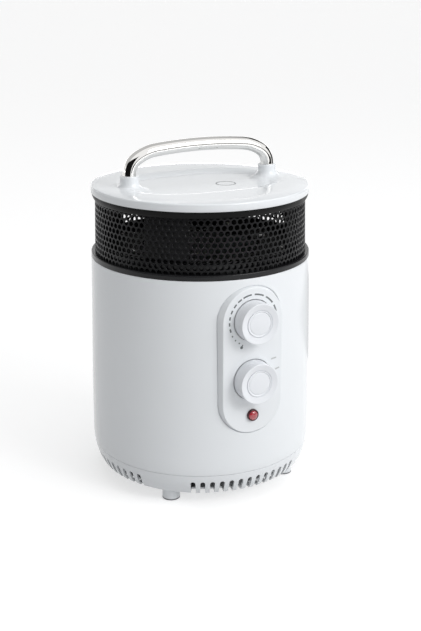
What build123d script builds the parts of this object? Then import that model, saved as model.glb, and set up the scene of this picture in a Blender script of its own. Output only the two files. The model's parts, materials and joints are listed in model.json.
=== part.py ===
"""Round ceramic fan heater with an all-round outlet grille and a carrying handle.

Millimetres, +Z up. The origin is on the floor, under the middle of the drum.
The control panel faces -Y and the handle runs along X.
"""
from build123d import *
import math
import os

os.makedirs("parts", exist_ok=True)

# ---------------------------------------------------------------- dimensions
# base cover
base_bottom_z = 11.5        # underside of the base cover
base_floor_top = 14.2       # inside face of its floor
seam_z = 31.0               # joint line between base cover and drum
seam_gap = 0.4
slot_width = 4.3
slot_top_z = 24.7
slot_pitch = 5.0            # degrees
slots_per_group = 13

# feet
foot_circle_r = 82.0
foot_r = 8.0
pad_thickness = 1.2

# drum
drum_top_z = 208.1
# outer line of the drum above its foot, as (radius, height)
drum_line = [
    (101.9, 42.0), (101.88, 70.0), (101.65, 99.0), (101.4, 123.0), (100.8, 158.0),
    (100.15, 193.0), (99.95, 207.2),
]

# outlet grille and its rings
ledge_z = 212.9
grille_top_z = 264.2
grille_r_low = 96.3
grille_r_high = 95.28
grille_thickness = 0.9
collar_top_z = 222.5
lid_bottom_z = 266.9

# lid
lid_r = 98.9
lid_top_z = 275.0
pocket_half_length = 74.0
pocket_half_width = 53.0
pocket_depth = 3.2
boss_top_z = 285.0

# handle
handle_span = 138.4         # between the leg centres
handle_tube_r = 6.0
handle_bore_r = 4.5
handle_top_axis_z = 308.2

# control panel
panel_face_y = 102.4        # distance of the flat face from the drum's axis
panel_back_y = 94.0
panel_r_face = 28.9         # half width on the face
panel_upper_z = 171.7       # centres of the round ends
panel_lower_z = 97.8
thermostat_z = 171.8
selector_z = 118.1
lamp_z = 85.4

# knobs
knob_back_y = 103.0
knob_front_y = 115.9
knob_r = 18.0
knob_opening_r = 18.5       # opening in the panel behind each knob
spindle_r = 3.0
spindle_bore_r = 3.05

# fan and heater
duct_r = 56.0
duct_wall = 1.8
impeller_r = 53.0
shaft_r = 2.5
shaft_bore_r = 2.55

# fastener circles
screw_circle_r = 80.0       # lid screws and post screws
post_r_in = 86.5
post_r_out = 89.5
post_half_angle = 13.0      # degrees


# ---------------------------------------------------------------- base cover
with BuildPart() as base_cover:
    # outer skin: a smooth bowl that tucks in towards the floor
    with BuildSketch(Plane.XZ):
        with BuildLine():
            skin = Spline(
                (94.1, 11.9), (95.5, 14.0), (96.9, 16.5), (98.0, 19.0), (98.9, 21.4),
                (99.7, 23.9), (100.3, 26.3), (100.8, 28.8), (101.17, seam_z - seam_gap / 2),
            )
            Polyline(
                skin @ 1, (98.1, seam_z - seam_gap / 2), (98.1, 36.0), (95.4, 36.0), (95.4, 27.4),
                (94.8, 21.4), (91.4, base_floor_top), (0, base_floor_top), (0, base_bottom_z),
                (93.3, base_bottom_z), skin @ 0,
            )
        make_face()
    revolve(axis=Axis.Z)
    # air inlet slots in four groups, open at the bottom edge
    slot_planes = []
    for group in range(4):
        for step in range(slots_per_group):
            turn = math.radians(90 * group + slot_pitch * (step - (slots_per_group - 1) / 2))
            slot_planes.append(Plane(
                origin=(86 * math.cos(turn), 86 * math.sin(turn), 0),
                x_dir=(-math.sin(turn), math.cos(turn), 0),
                z_dir=(math.cos(turn), math.sin(turn), 0),
            ))
    with BuildSketch(*slot_planes):
        with Locations((0, slot_top_z / 2 + 1)):
            SlotOverall(slot_top_z - 2, slot_width, rotation=90)
    extrude(amount=20, mode=Mode.SUBTRACT)
    # four moulded foot stubs
    with BuildSketch(Plane.XY.offset(pad_thickness)):
        with PolarLocations(foot_circle_r, 4, start_angle=45):
            Circle(foot_r)
    extrude(amount=base_floor_top - pad_thickness - 1.0)
    # screw holes with sunk heads, up through each stub
    with BuildSketch(Plane.XY.offset(pad_thickness)):
        with PolarLocations(foot_circle_r, 4, start_angle=45):
            Circle(4.2)
    extrude(amount=3.4, mode=Mode.SUBTRACT)
    with BuildSketch(Plane.XY.offset(pad_thickness)):
        with PolarLocations(foot_circle_r, 4, start_angle=45):
            Circle(2.2)
    extrude(amount=base_floor_top, mode=Mode.SUBTRACT)
    # two posts that carry the motor bracket
    with BuildSketch(Plane.XY.offset(base_floor_top - 1)):
        with Locations((66, 0), (-66, 0)):
            Circle(6)
            Circle(1.8, mode=Mode.SUBTRACT)
    extrude(amount=28 - base_floor_top + 1)
    # hole for the tip-over plunger
    with BuildSketch(Plane.XY.offset(base_bottom_z - 1)):
        with Locations((0, -60)):
            Circle(3.9)
    extrude(amount=5, mode=Mode.SUBTRACT)
base_cover.part.label = "base_cover"
export_step(base_cover.part, "parts/base_cover.step")

with BuildPart() as foot_pads:
    with BuildSketch():
        with PolarLocations(foot_circle_r, 4, start_angle=45):
            Circle(foot_r)
    extrude(amount=pad_thickness)
    chamfer(foot_pads.edges().group_by(Axis.Z)[0], 0.3)
foot_pads.part.label = "foot_pads"
export_step(foot_pads.part, "parts/foot_pads.step")

with BuildPart() as base_screws:
    with BuildSketch(Plane.XY.offset(pad_thickness + 0.4)):
        with PolarLocations(foot_circle_r, 4, start_angle=45):
            Circle(3.8)
    extrude(amount=3.0)
    with BuildSketch(Plane.XY.offset(pad_thickness + 3.4)):
        with PolarLocations(foot_circle_r, 4, start_angle=45):
            Circle(2.0)
    extrude(amount=30)
base_screws.part.label = "base_screws"
export_step(base_screws.part, "parts/base_screws.step")

# ---------------------------------------------------------------- drum
# the drum's wall, all round; its four sides are taken from it below
with BuildPart() as drum_wall:
    with BuildSketch(Plane.XZ):
        with BuildLine():
            lower = Spline(
                (101.23, seam_z + seam_gap / 2), (101.58, 34.0), (101.84, 38.0), (101.9, 42.0),
                tangents=((0.13, 1), (0, 1)),
            )
            upper = Spline(*drum_line, tangents=((0, 1), (-0.012, 1)))
            Polyline(
                upper @ 1, (99.65, 207.8), (99.1, drum_top_z), (97.1, drum_top_z), (97.1, 190.0),
                (98.5, 120.0), (98.95, 70.0), (98.95, 42.0), (98.4, 37.0),
                (98.4, seam_z + seam_gap / 2), lower @ 0,
            )
        make_face()
    revolve(axis=Axis.Z)
    # openings for the spindles, the lamp and the cord inlet
    with BuildSketch(Plane.XZ.offset(90)):
        with Locations((0, thermostat_z), (0, selector_z)):
            Circle(5)
        with Locations((0, lamp_z)):
            Circle(5)
    extrude(amount=14, mode=Mode.SUBTRACT)
    with BuildSketch(Plane.XZ.offset(-90)):
        with Locations((0, 48)):
            Circle(6.6)
    extrude(amount=-14, mode=Mode.SUBTRACT)


def side_cut(degrees):
    """Upright plane through the drum's axis at the given direction, facing anticlockwise."""
    a = math.radians(degrees)
    return Plane(origin=(0, 0, 0), x_dir=(math.cos(a), math.sin(a), 0), z_dir=(-math.sin(a), math.cos(a), 0))


with BuildPart() as body_shell_rear:
    add(drum_wall.part)
    split(bisect_by=side_cut(51), keep=Keep.TOP)
    split(bisect_by=side_cut(129), keep=Keep.BOTTOM)
body_shell_rear.part.label = "body_shell_rear"
export_step(body_shell_rear.part, "parts/body_shell_rear.step")

with BuildPart() as body_shell_left:
    add(drum_wall.part)
    split(bisect_by=side_cut(129), keep=Keep.TOP)
    split(bisect_by=side_cut(231), keep=Keep.BOTTOM)
body_shell_left.part.label = "body_shell_left"
export_step(body_shell_left.part, "parts/body_shell_left.step")

with BuildPart() as body_shell_right:
    add(drum_wall.part)
    split(bisect_by=side_cut(-51), keep=Keep.TOP)
    split(bisect_by=side_cut(51), keep=Keep.BOTTOM)
body_shell_right.part.label = "body_shell_right"
export_step(body_shell_right.part, "parts/body_shell_right.step")

# screw posts that reach down to the base cover's floor, each on a rib
with BuildPart() as body_shell_posts:
    with BuildSketch(Plane.XY.offset(base_floor_top)):
        with PolarLocations(foot_circle_r, 4, start_angle=45):
            Circle(6)
    extrude(amount=29.8)
    with BuildSketch(Plane.XY.offset(37)):
        with PolarLocations(91.5, 4, start_angle=45):
            Rectangle(15.8, 4)
    extrude(amount=7)
    with BuildSketch(Plane.XY.offset(base_floor_top)):
        with PolarLocations(foot_circle_r, 4, start_angle=45):
            Circle(2.05)
    extrude(amount=24, mode=Mode.SUBTRACT)
    add(drum_wall.part, mode=Mode.SUBTRACT)
body_shell_posts.part.label = "body_shell_posts"
export_step(body_shell_posts.part, "parts/body_shell_posts.step")

with BuildPart() as body_shell:
    add(drum_wall.part)
    split(bisect_by=side_cut(231), keep=Keep.TOP)
    split(bisect_by=side_cut(309), keep=Keep.BOTTOM)
    # two upright rails behind the panel
    with BuildSketch(Plane.XY.offset(78)):
        with BuildLine():
            Polyline((38.5, -86), (44.5, -86), (44.5, -88.8), (38.5, -91.5), close=True)
        make_face()
        mirror(about=Plane.YZ)
    extrude(amount=116)
    with BuildSketch(Plane.XZ.offset(86)):
        with Locations((41.5, 86), (-41.5, 86), (41.5, 186), (-41.5, 186)):
            Circle(1.5)
    extrude(amount=1.4, mode=Mode.SUBTRACT)
body_shell.part.label = "body_shell"
export_step(body_shell.part, "parts/body_shell.step")

# ---------------------------------------------------------------- control panel
with BuildPart() as control_panel:
    with BuildSketch(Plane.XZ.offset(panel_face_y)):
        with Locations((0, (panel_upper_z + panel_lower_z) / 2)):
            SlotCenterToCenter(panel_upper_z - panel_lower_z, 2 * panel_r_face, rotation=90)
    extrude(amount=-(panel_face_y - panel_back_y), taper=-16)
    # the back follows the drum
    with BuildSketch(Plane.XZ):
        with BuildLine():
            seat = Spline(*drum_line, tangents=((0, 1), (-0.012, 1)))
            Polyline(seat @ 1, (60, 207.2), (60, 42.0), seat @ 0)
        make_face()
    revolve(axis=Axis.Z, mode=Mode.SUBTRACT)
    # round openings that the knobs stand over
    with BuildSketch(Plane.XZ.offset(panel_back_y - 4)):
        with Locations((0, thermostat_z), (0, selector_z)):
            Circle(knob_opening_r)
        with Locations((0, lamp_z)):
            Circle(4.95)
    extrude(amount=20, mode=Mode.SUBTRACT)
    fillet(control_panel.faces().sort_by(Axis.Y)[0].outer_wire().edges(), 0.5)
control_panel.part.label = "control_panel"
export_step(control_panel.part, "parts/control_panel.step")

with BuildPart() as control_bracket:
    with BuildSketch(Plane.XZ.offset(84.5)):
        with Locations((0, 136)):
            RectangleRounded(88.6, 120, 4)
        with Locations((0, thermostat_z), (0, selector_z), (0, lamp_z)):
            Circle(4.6, mode=Mode.SUBTRACT)
        with Locations((41.5, 86), (-41.5, 86), (41.5, 186), (-41.5, 186)):
            Circle(1.6, mode=Mode.SUBTRACT)
    extrude(amount=1.5)
control_bracket.part.label = "control_bracket"
export_step(control_bracket.part, "parts/control_bracket.step")

with BuildPart() as bracket_screws:
    with BuildSketch(Plane.XZ.offset(82.5)):
        with Locations((41.5, 86), (-41.5, 86), (41.5, 186), (-41.5, 186)):
            Circle(2.8)
    extrude(amount=2.0)
    with BuildSketch(Plane.XZ.offset(84.5)):
        with Locations((41.5, 86), (-41.5, 86), (41.5, 186), (-41.5, 186)):
            Circle(1.45)
    extrude(amount=2.5)
bracket_screws.part.label = "bracket_screws"
export_step(bracket_screws.part, "parts/bracket_screws.step")

# thermostat: body, threaded neck, blind bore for the spindle
with BuildPart() as thermostat_body:
    with BuildSketch(Plane.XZ.offset(67.5)):
        with Locations((0, thermostat_z)):
            RectangleRounded(30, 28, 3)
    extrude(amount=17)
    with BuildSketch(Plane.XZ.offset(84.5)):
        with Locations((0, thermostat_z)):
            Circle(4.5)
    extrude(amount=5.2)
    with BuildSketch(Plane.XZ.offset(90.5)):
        with Locations((0, thermostat_z)):
            Circle(spindle_bore_r)
    extrude(amount=-15, mode=Mode.SUBTRACT)
    # two flat terminals at the back
    with BuildSketch(Plane.XZ.offset(59.8)):
        with Locations((-7, thermostat_z + 11), (7, thermostat_z + 11)):
            Rectangle(6.3, 0.8)
    extrude(amount=8)
thermostat_body.part.label = "thermostat_body"
export_step(thermostat_body.part, "parts/thermostat_body.step")

with BuildPart() as rotary_switch:
    with BuildSketch(Plane.XZ.offset(66.5)):
        with Locations((0, selector_z)):
            RegularPolygon(16, 8)
    extrude(amount=18)
    with BuildSketch(Plane.XZ.offset(84.5)):
        with Locations((0, selector_z)):
            Circle(4.5)
    extrude(amount=5.2)
    with BuildSketch(Plane.XZ.offset(90.5)):
        with Locations((0, selector_z)):
            Circle(spindle_bore_r)
    extrude(amount=-15, mode=Mode.SUBTRACT)
    with BuildSketch(Plane.XZ.offset(59.8)):
        with Locations((-8, selector_z - 8), (0, selector_z - 8), (8, selector_z - 8), (0, selector_z + 8)):
            Rectangle(4.8, 0.8)
    extrude(amount=7.2)
rotary_switch.part.label = "rotary_switch"
export_step(rotary_switch.part, "parts/rotary_switch.step")

with BuildPart() as neck_nuts:
    with BuildSketch(Plane.XZ.offset(86)):
        with Locations((0, thermostat_z), (0, selector_z)):
            RegularPolygon(7.2, 6)
            Circle(4.5, mode=Mode.SUBTRACT)
    extrude(amount=2.2)
neck_nuts.part.label = "neck_nuts"
export_step(neck_nuts.part, "parts/neck_nuts.step")

# ---------------------------------------------------------------- knobs
# each knob is a hollow cup on a hub with a D bore; its face is a shallow dish that a cap closes
with BuildPart() as thermostat_knob:
    with BuildSketch(Plane.XY.offset(thermostat_z)):
        with BuildLine():
            Polyline(
                (5.5, -knob_back_y - 1), (5.5, -111.6), (15.9, -111.6), (16.2, -knob_back_y),
                (17.8, -knob_back_y), (knob_r, -knob_back_y - 0.3), (17.9, -115.0), (17.6, -115.6),
                (17.1, -knob_front_y), (16.7, -115.85), (12.1, -114.6), (12.0, -113.6),
                (0, -113.6), (0, -knob_back_y - 1), close=True,
            )
        make_face()
    revolve(axis=Axis((0, 0, thermostat_z), (0, 1, 0)))
    with BuildSketch(Plane.XZ.offset(knob_back_y)):
        with Locations((0, thermostat_z)):
            Circle(spindle_r)
        with Locations((0, thermostat_z + 3.4)):
            Rectangle(8, 3, mode=Mode.SUBTRACT)
    extrude(amount=8.6, mode=Mode.SUBTRACT)
thermostat_knob.part.label = "thermostat_knob"
export_step(thermostat_knob.part, "parts/thermostat_knob.step")

with BuildPart() as thermostat_knob_cap:
    with BuildSketch(Plane.XY.offset(thermostat_z)):
        with BuildLine():
            Polyline((0, -115.0), (0, -113.6), (11.7, -113.6), (11.7, -114.4), (11.3, -114.8),
                     (10.8, -114.8), (10.3, -114.45))
            Spline((10.3, -114.45), (5.5, -114.85), (0, -115.0), tangents=((-1, -0.05), (-1, 0)))
        make_face()
    revolve(axis=Axis((0, 0, thermostat_z), (0, 1, 0)))
thermostat_knob_cap.part.label = "thermostat_knob_cap"
export_step(thermostat_knob_cap.part, "parts/thermostat_knob_cap.step")

with BuildPart() as thermostat_spindle:
    with BuildSketch(Plane.XZ.offset(76.5)):
        with Locations((0, thermostat_z)):
            Circle(spindle_r)
    extrude(amount=35)
    with BuildSketch(Plane.XZ.offset(knob_back_y - 0.5)):
        with Locations((0, thermostat_z + 3.4)):
            Rectangle(8, 3)
    extrude(amount=12, mode=Mode.SUBTRACT)
thermostat_spindle.part.label = "thermostat_spindle"
export_step(thermostat_spindle.part, "parts/thermostat_spindle.step")

with BuildPart() as selector_knob:
    with BuildSketch(Plane.XY.offset(selector_z)):
        with BuildLine():
            Polyline(
                (5.5, -knob_back_y - 1), (5.5, -111.6), (15.9, -111.6), (16.2, -knob_back_y),
                (17.8, -knob_back_y), (knob_r, -knob_back_y - 0.3), (17.9, -115.0), (17.6, -115.6),
                (17.1, -knob_front_y), (16.7, -115.85), (12.1, -114.6), (12.0, -113.6),
                (0, -113.6), (0, -knob_back_y - 1), close=True,
            )
        make_face()
    revolve(axis=Axis((0, 0, selector_z), (0, 1, 0)))
    with BuildSketch(Plane.XZ.offset(knob_back_y)):
        with Locations((0, selector_z)):
            Circle(spindle_r)
        with Locations((0, selector_z + 3.4)):
            Rectangle(8, 3, mode=Mode.SUBTRACT)
    extrude(amount=8.6, mode=Mode.SUBTRACT)
selector_knob.part.label = "selector_knob"
export_step(selector_knob.part, "parts/selector_knob.step")

with BuildPart() as selector_knob_cap:
    with BuildSketch(Plane.XY.offset(selector_z)):
        with BuildLine():
            Polyline((0, -115.0), (0, -113.6), (11.7, -113.6), (11.7, -114.4), (11.3, -114.8),
                     (10.8, -114.8), (10.3, -114.45))
            Spline((10.3, -114.45), (5.5, -114.85), (0, -115.0), tangents=((-1, -0.05), (-1, 0)))
        make_face()
    revolve(axis=Axis((0, 0, selector_z), (0, 1, 0)))
selector_knob_cap.part.label = "selector_knob_cap"
export_step(selector_knob_cap.part, "parts/selector_knob_cap.step")

with BuildPart() as selector_spindle:
    with BuildSketch(Plane.XZ.offset(76.5)):
        with Locations((0, selector_z)):
            Circle(spindle_r)
    extrude(amount=35)
    with BuildSketch(Plane.XZ.offset(knob_back_y - 0.5)):
        with Locations((0, selector_z + 3.4)):
            Rectangle(8, 3)
    extrude(amount=12, mode=Mode.SUBTRACT)
selector_spindle.part.label = "selector_spindle"
export_step(selector_spindle.part, "parts/selector_spindle.step")

# ---------------------------------------------------------------- pilot lamp
with BuildPart() as lamp_bezel:
    with BuildSketch(Plane.XY.offset(lamp_z)):
        with BuildLine():
            Polyline(
                (4.3, -91.0), (4.3, -104.5), (4.55, -104.9), (4.95, -104.8), (5.2, -104.4),
                (5.35, -panel_face_y), (4.9, -panel_face_y), (4.9, -91.0), close=True,
            )
        make_face()
    revolve(axis=Axis((0, 0, lamp_z), (0, 1, 0)))
lamp_bezel.part.label = "lamp_bezel"
export_step(lamp_bezel.part, "parts/lamp_bezel.step")

with BuildPart() as lamp_lens:
    with BuildSketch(Plane.XY.offset(lamp_z)):
        with BuildLine():
            Polyline((0, -106.5), (0, -96.5), (4.25, -96.5), (4.25, -104.3))
            Spline((4.25, -104.3), (3.2, -105.75), (0, -106.5), tangents=((-0.15, -1), (-1, 0)))
        make_face()
    revolve(axis=Axis((0, 0, lamp_z), (0, 1, 0)))
lamp_lens.part.label = "lamp_lens"
export_step(lamp_lens.part, "parts/lamp_lens.step")

with BuildPart() as neon_lamp:
    with BuildSketch(Plane.XZ.offset(80)):
        with Locations((0, lamp_z)):
            Circle(3)
    extrude(amount=16)
    fillet(neon_lamp.faces().sort_by(Axis.Y)[0].edges(), 2.5)
neon_lamp.part.label = "neon_lamp"
export_step(neon_lamp.part, "parts/neon_lamp.step")

with BuildPart() as lamp_holder:
    with BuildSketch(Plane.XZ.offset(78.5)):
        with Locations((0, lamp_z)):
            Circle(6.5)
            Circle(3, mode=Mode.SUBTRACT)
    extrude(amount=6)
lamp_holder.part.label = "lamp_holder"
export_step(lamp_holder.part, "parts/lamp_holder.step")

# ---------------------------------------------------------------- outlet
with BuildPart() as lower_ring:
    with BuildSketch(Plane.XZ):
        with BuildLine():
            Polyline(
                (99.8, drum_top_z), (99.8, 212.0), (99.55, 212.6), (98.9, ledge_z), (93.6, ledge_z),
                (93.6, collar_top_z), (91.7, collar_top_z), (91.7, ledge_z), (74, ledge_z),
                (74, 210.4), (94, 210.4), (94, 203.5), (96.9, 203.5), (96.9, drum_top_z), close=True,
            )
        make_face()
    revolve(axis=Axis.Z)
    with BuildSketch(Plane.XY.offset(209)):
        with PolarLocations(screw_circle_r, 4, start_angle=45):
            Circle(1.75)
    extrude(amount=5, mode=Mode.SUBTRACT)
lower_ring.part.label = "lower_ring"
export_step(lower_ring.part, "parts/lower_ring.step")

with BuildPart() as deck_plate:
    with BuildSketch(Plane.XY.offset(ledge_z)):
        Circle(91.4)
        Circle(duct_r, mode=Mode.SUBTRACT)
        with PolarLocations(screw_circle_r, 4, start_angle=45):
            Circle(1.75, mode=Mode.SUBTRACT)
        with PolarLocations(65, 4):
            Circle(1.6, mode=Mode.SUBTRACT)
    extrude(amount=2)
deck_plate.part.label = "deck_plate"
export_step(deck_plate.part, "parts/deck_plate.step")

# rolled perforated sheet; the holes are below the level of detail kept here
with BuildPart() as outlet_grille:
    with BuildSketch(Plane.XZ):
        with BuildLine():
            Polyline(
                (grille_r_low, ledge_z), (grille_r_high, grille_top_z),
                (grille_r_high - grille_thickness, grille_top_z),
                (grille_r_low - grille_thickness, ledge_z), close=True,
            )
        make_face()
    revolve(axis=Axis.Z)
outlet_grille.part.label = "outlet_grille"
export_step(outlet_grille.part, "parts/outlet_grille.step")

wedge_reach = 120.0
with BuildSketch() as post_wedges:
    for middle in (45, 135, 225, 315):
        a0 = math.radians(middle - post_half_angle)
        a1 = math.radians(middle + post_half_angle)
        with BuildLine():
            Polyline((0, 0), (wedge_reach * math.cos(a0), wedge_reach * math.sin(a0)),
                     (wedge_reach * math.cos(a1), wedge_reach * math.sin(a1)), close=True)
        make_face()
with BuildSketch() as tab_wedges:
    for middle in (45, 135, 225, 315):
        a0 = math.radians(middle - 6)
        a1 = math.radians(middle + 6)
        with BuildLine():
            Polyline((0, 0), (wedge_reach * math.cos(a0), wedge_reach * math.sin(a0)),
                     (wedge_reach * math.cos(a1), wedge_reach * math.sin(a1)), close=True)
        make_face()

with BuildPart() as outlet_posts:
    with BuildSketch(Plane.XY.offset(ledge_z + 2)):
        Circle(post_r_out)
        Circle(post_r_in, mode=Mode.SUBTRACT)
        add(post_wedges.sketch, mode=Mode.INTERSECT)
    extrude(amount=grille_top_z - ledge_z - 2)
    with BuildSketch(Plane.XY.offset(ledge_z + 2), Plane.XY.offset(grille_top_z - 1.8)):
        Circle(87)
        Circle(75.6, mode=Mode.SUBTRACT)
        add(tab_wedges.sketch, mode=Mode.INTERSECT)
        with PolarLocations(screw_circle_r, 4, start_angle=45):
            Circle(1.75, mode=Mode.SUBTRACT)
    extrude(amount=1.8)
outlet_posts.part.label = "outlet_posts"
export_step(outlet_posts.part, "parts/outlet_posts.step")

with BuildPart() as post_screws:
    with BuildSketch(Plane.XY.offset(ledge_z + 3.8)):
        with PolarLocations(screw_circle_r, 4, start_angle=45):
            Circle(3.4)
    extrude(amount=2.4)
    with BuildSketch(Plane.XY.offset(207)):
        with PolarLocations(screw_circle_r, 4, start_angle=45):
            Circle(1.7)
    extrude(amount=ledge_z + 3.8 - 207)
post_screws.part.label = "post_screws"
export_step(post_screws.part, "parts/post_screws.step")

with BuildPart() as upper_ring:
    with BuildSketch(Plane.XZ):
        with BuildLine():
            rim = Spline((96.05, 260.7), (97.15, 262.3), (98.05, 264.7), (98.45, lid_bottom_z))
            Polyline(rim @ 1, (75.2, lid_bottom_z), (75.2, grille_top_z), (95.5, grille_top_z),
                     (95.5, 260.7), rim @ 0)
        make_face()
    revolve(axis=Axis.Z)
    with BuildSketch(Plane.XY.offset(grille_top_z - 1)):
        with PolarLocations(screw_circle_r, 4, start_angle=45):
            Circle(1.75)
    extrude(amount=5, mode=Mode.SUBTRACT)
upper_ring.part.label = "upper_ring"
export_step(upper_ring.part, "parts/upper_ring.step")

# ---------------------------------------------------------------- lid
boss_x = handle_span / 2
with BuildPart() as lid:
    with BuildSketch(Plane.XZ):
        with BuildLine():
            edge = Spline(
                (98.8, lid_bottom_z), (lid_r, 269.2), (98.5, 271.4), (97.0, 273.3), (94.4, 274.6),
                (91.0, lid_top_z), tangents=((0.02, 1), (-1, 0)),
            )
            Polyline(edge @ 1, (0, lid_top_z), (0, 272.4), (92.6, 272.4), (95.2, 271.2),
                     (96.1, 269.4), (96.1, lid_bottom_z), edge @ 0)
        make_face()
    revolve(axis=Axis.Z)
    # tub under the pocket, pads under the handle bosses, screw pillars
    with BuildSketch(Plane.XY.offset(269.2)):
        Ellipse(pocket_half_length + 2, pocket_half_width + 2)
        with Locations((boss_x, 0), (-boss_x, 0)):
            Circle(12)
    extrude(amount=4)
    with BuildSketch(Plane.XY.offset(lid_bottom_z)):
        with PolarLocations(screw_circle_r, 4, start_angle=45):
            Circle(4.5)
    extrude(amount=6)
    with BuildSketch(Plane.XY.offset(264.0)):
        with PolarLocations(52, 3, start_angle=30):
            Circle(4)
    extrude(amount=6)
    # the shallow pocket between the bosses
    with BuildSketch(Plane.XY.offset(lid_top_z + 0.01)):
        Ellipse(pocket_half_length, pocket_half_width)
    with BuildSketch(Plane.XY.offset(lid_top_z - pocket_depth)):
        Ellipse(pocket_half_length - 9, pocket_half_width - 9)
    loft(mode=Mode.SUBTRACT)
    # flared bosses for the handle's ends
    for side in (1, -1):
        with BuildSketch(Plane(origin=(side * boss_x, 0, 0), x_dir=(1, 0, 0), z_dir=(0, -1, 0))):
            with BuildLine():
                flare = Spline((15.0, 272.6), (10.4, 274.6), (8.6, 278.0), (8.1, boss_top_z - 0.5),
                               tangents=((-1, 0.12), (-0.05, 1)))
                Polyline(flare @ 1, (7.6, boss_top_z), (0, boss_top_z), (0, 270.5), (15.0, 270.5),
                         flare @ 0)
            make_face()
        revolve(axis=Axis((side * boss_x, 0, 0), (0, 0, 1)))
    # sockets for the tube, holes for the handle screws
    with BuildSketch(Plane.XY.offset(276.2)):
        with Locations((boss_x, 0), (-boss_x, 0)):
            Circle(handle_tube_r)
    extrude(amount=12, mode=Mode.SUBTRACT)
    with BuildSketch(Plane.XY.offset(268)):
        with Locations((boss_x, 0), (-boss_x, 0)):
            Circle(2.6)
    extrude(amount=10, mode=Mode.SUBTRACT)
    with BuildSketch(Plane.XY.offset(lid_bottom_z)):
        with PolarLocations(screw_circle_r, 4, start_angle=45):
            Circle(1.75)
    extrude(amount=4.6, mode=Mode.SUBTRACT)
    with BuildSketch(Plane.XY.offset(264.0)):
        with PolarLocations(52, 3, start_angle=30):
            Circle(1.75)
    extrude(amount=5.2, mode=Mode.SUBTRACT)
lid.part.label = "lid"
export_step(lid.part, "parts/lid.step")

with BuildPart() as lid_screws:
    with BuildSketch(Plane.XY.offset(grille_top_z - 1.8)):
        with PolarLocations(screw_circle_r, 4, start_angle=45):
            Circle(3.4)
    extrude(amount=-2.4)
    with BuildSketch(Plane.XY.offset(grille_top_z - 1.8)):
        with PolarLocations(screw_circle_r, 4, start_angle=45):
            Circle(1.7)
    extrude(amount=8.6)
lid_screws.part.label = "lid_screws"
export_step(lid_screws.part, "parts/lid_screws.step")

with BuildPart() as heat_shield:
    with BuildSketch(Plane.XY.offset(263.2)):
        Circle(62)
        with PolarLocations(52, 3, start_angle=30):
            Circle(1.75, mode=Mode.SUBTRACT)
    extrude(amount=0.8)
heat_shield.part.label = "heat_shield"
export_step(heat_shield.part, "parts/heat_shield.step")

with BuildPart() as air_deflector:
    with BuildSketch(Plane.XZ):
        with BuildLine():
            cone = Spline((44.0, 262.4), (24.0, 254.0), (9.0, 236.0), (4.0, 230.0))
            Polyline(cone @ 1, (0, 229.4), (0, 231.4), (3.2, 231.6))
            under = Spline((3.2, 231.6), (7.6, 237.0), (22.8, 255.4), (42.0, 263.2))
            Polyline(under @ 1, (57.0, 263.2), (57.0, 262.4), cone @ 0)
        make_face()
    revolve(axis=Axis.Z)
    with BuildSketch(Plane.XY.offset(262)):
        with PolarLocations(52, 3, start_angle=30):
            Circle(1.75)
    extrude(amount=2, mode=Mode.SUBTRACT)
air_deflector.part.label = "air_deflector"
export_step(air_deflector.part, "parts/air_deflector.step")

with BuildPart() as shield_screws:
    with BuildSketch(Plane.XY.offset(262.4)):
        with PolarLocations(52, 3, start_angle=30):
            Circle(3.4)
    extrude(amount=-2.2)
    with BuildSketch(Plane.XY.offset(262.4)):
        with PolarLocations(52, 3, start_angle=30):
            Circle(1.7)
    extrude(amount=6.4)
shield_screws.part.label = "shield_screws"
export_step(shield_screws.part, "parts/shield_screws.step")

# ---------------------------------------------------------------- handle
# one bent tube: straight legs, tight corner arcs, wider shoulder arcs, a slight crown
corner_r, corner_turn = 16.0, 57.0
shoulder_r, shoulder_turn = 42.0, 27.0
crown_turn = 90.0 - corner_turn - shoulder_turn
a_corner = math.radians(90.0 - corner_turn)
a_crown = math.radians(crown_turn)
corner_dx = corner_r * (1 - math.sin(a_corner))
corner_dz = corner_r * math.cos(a_corner)
shoulder_dx = shoulder_r * (math.sin(a_corner) - math.sin(a_crown))
shoulder_dz = shoulder_r * (math.cos(a_crown) - math.cos(a_corner))
crown_r = (boss_x - corner_dx - shoulder_dx) / math.sin(a_crown)
crown_dz = crown_r * (1 - math.cos(a_crown))
leg_top_z = handle_top_axis_z - corner_dz - shoulder_dz - crown_dz

with BuildPart() as handle:
    with BuildLine(Plane.XZ) as handle_path:
        leg = Line((-boss_x, 276.2), (-boss_x, leg_top_z))
        corner = JernArc(leg @ 1, leg % 1, corner_r, -corner_turn)
        shoulder = JernArc(corner @ 1, corner % 1, shoulder_r, -shoulder_turn)
        crown = JernArc(shoulder @ 1, shoulder % 1, crown_r, -2 * crown_turn)
        shoulder_2 = JernArc(crown @ 1, crown % 1, shoulder_r, -shoulder_turn)
        corner_2 = JernArc(shoulder_2 @ 1, shoulder_2 % 1, corner_r, -corner_turn)
        Line(corner_2 @ 1, (boss_x, 276.2))
    with BuildSketch(Plane(origin=(-boss_x, 0, 276.2), z_dir=(0, 0, 1))):
        Circle(handle_tube_r)
        Circle(handle_bore_r, mode=Mode.SUBTRACT)
    sweep(path=handle_path.line)
handle.part.label = "handle"
export_step(handle.part, "parts/handle.step")

with BuildPart() as handle_inserts:
    with BuildSketch(Plane.XY.offset(276.2)):
        with Locations((boss_x, 0), (-boss_x, 0)):
            Circle(handle_bore_r)
            Circle(2.55, mode=Mode.SUBTRACT)
    extrude(amount=8)
handle_inserts.part.label = "handle_inserts"
export_step(handle_inserts.part, "parts/handle_inserts.step")

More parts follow.
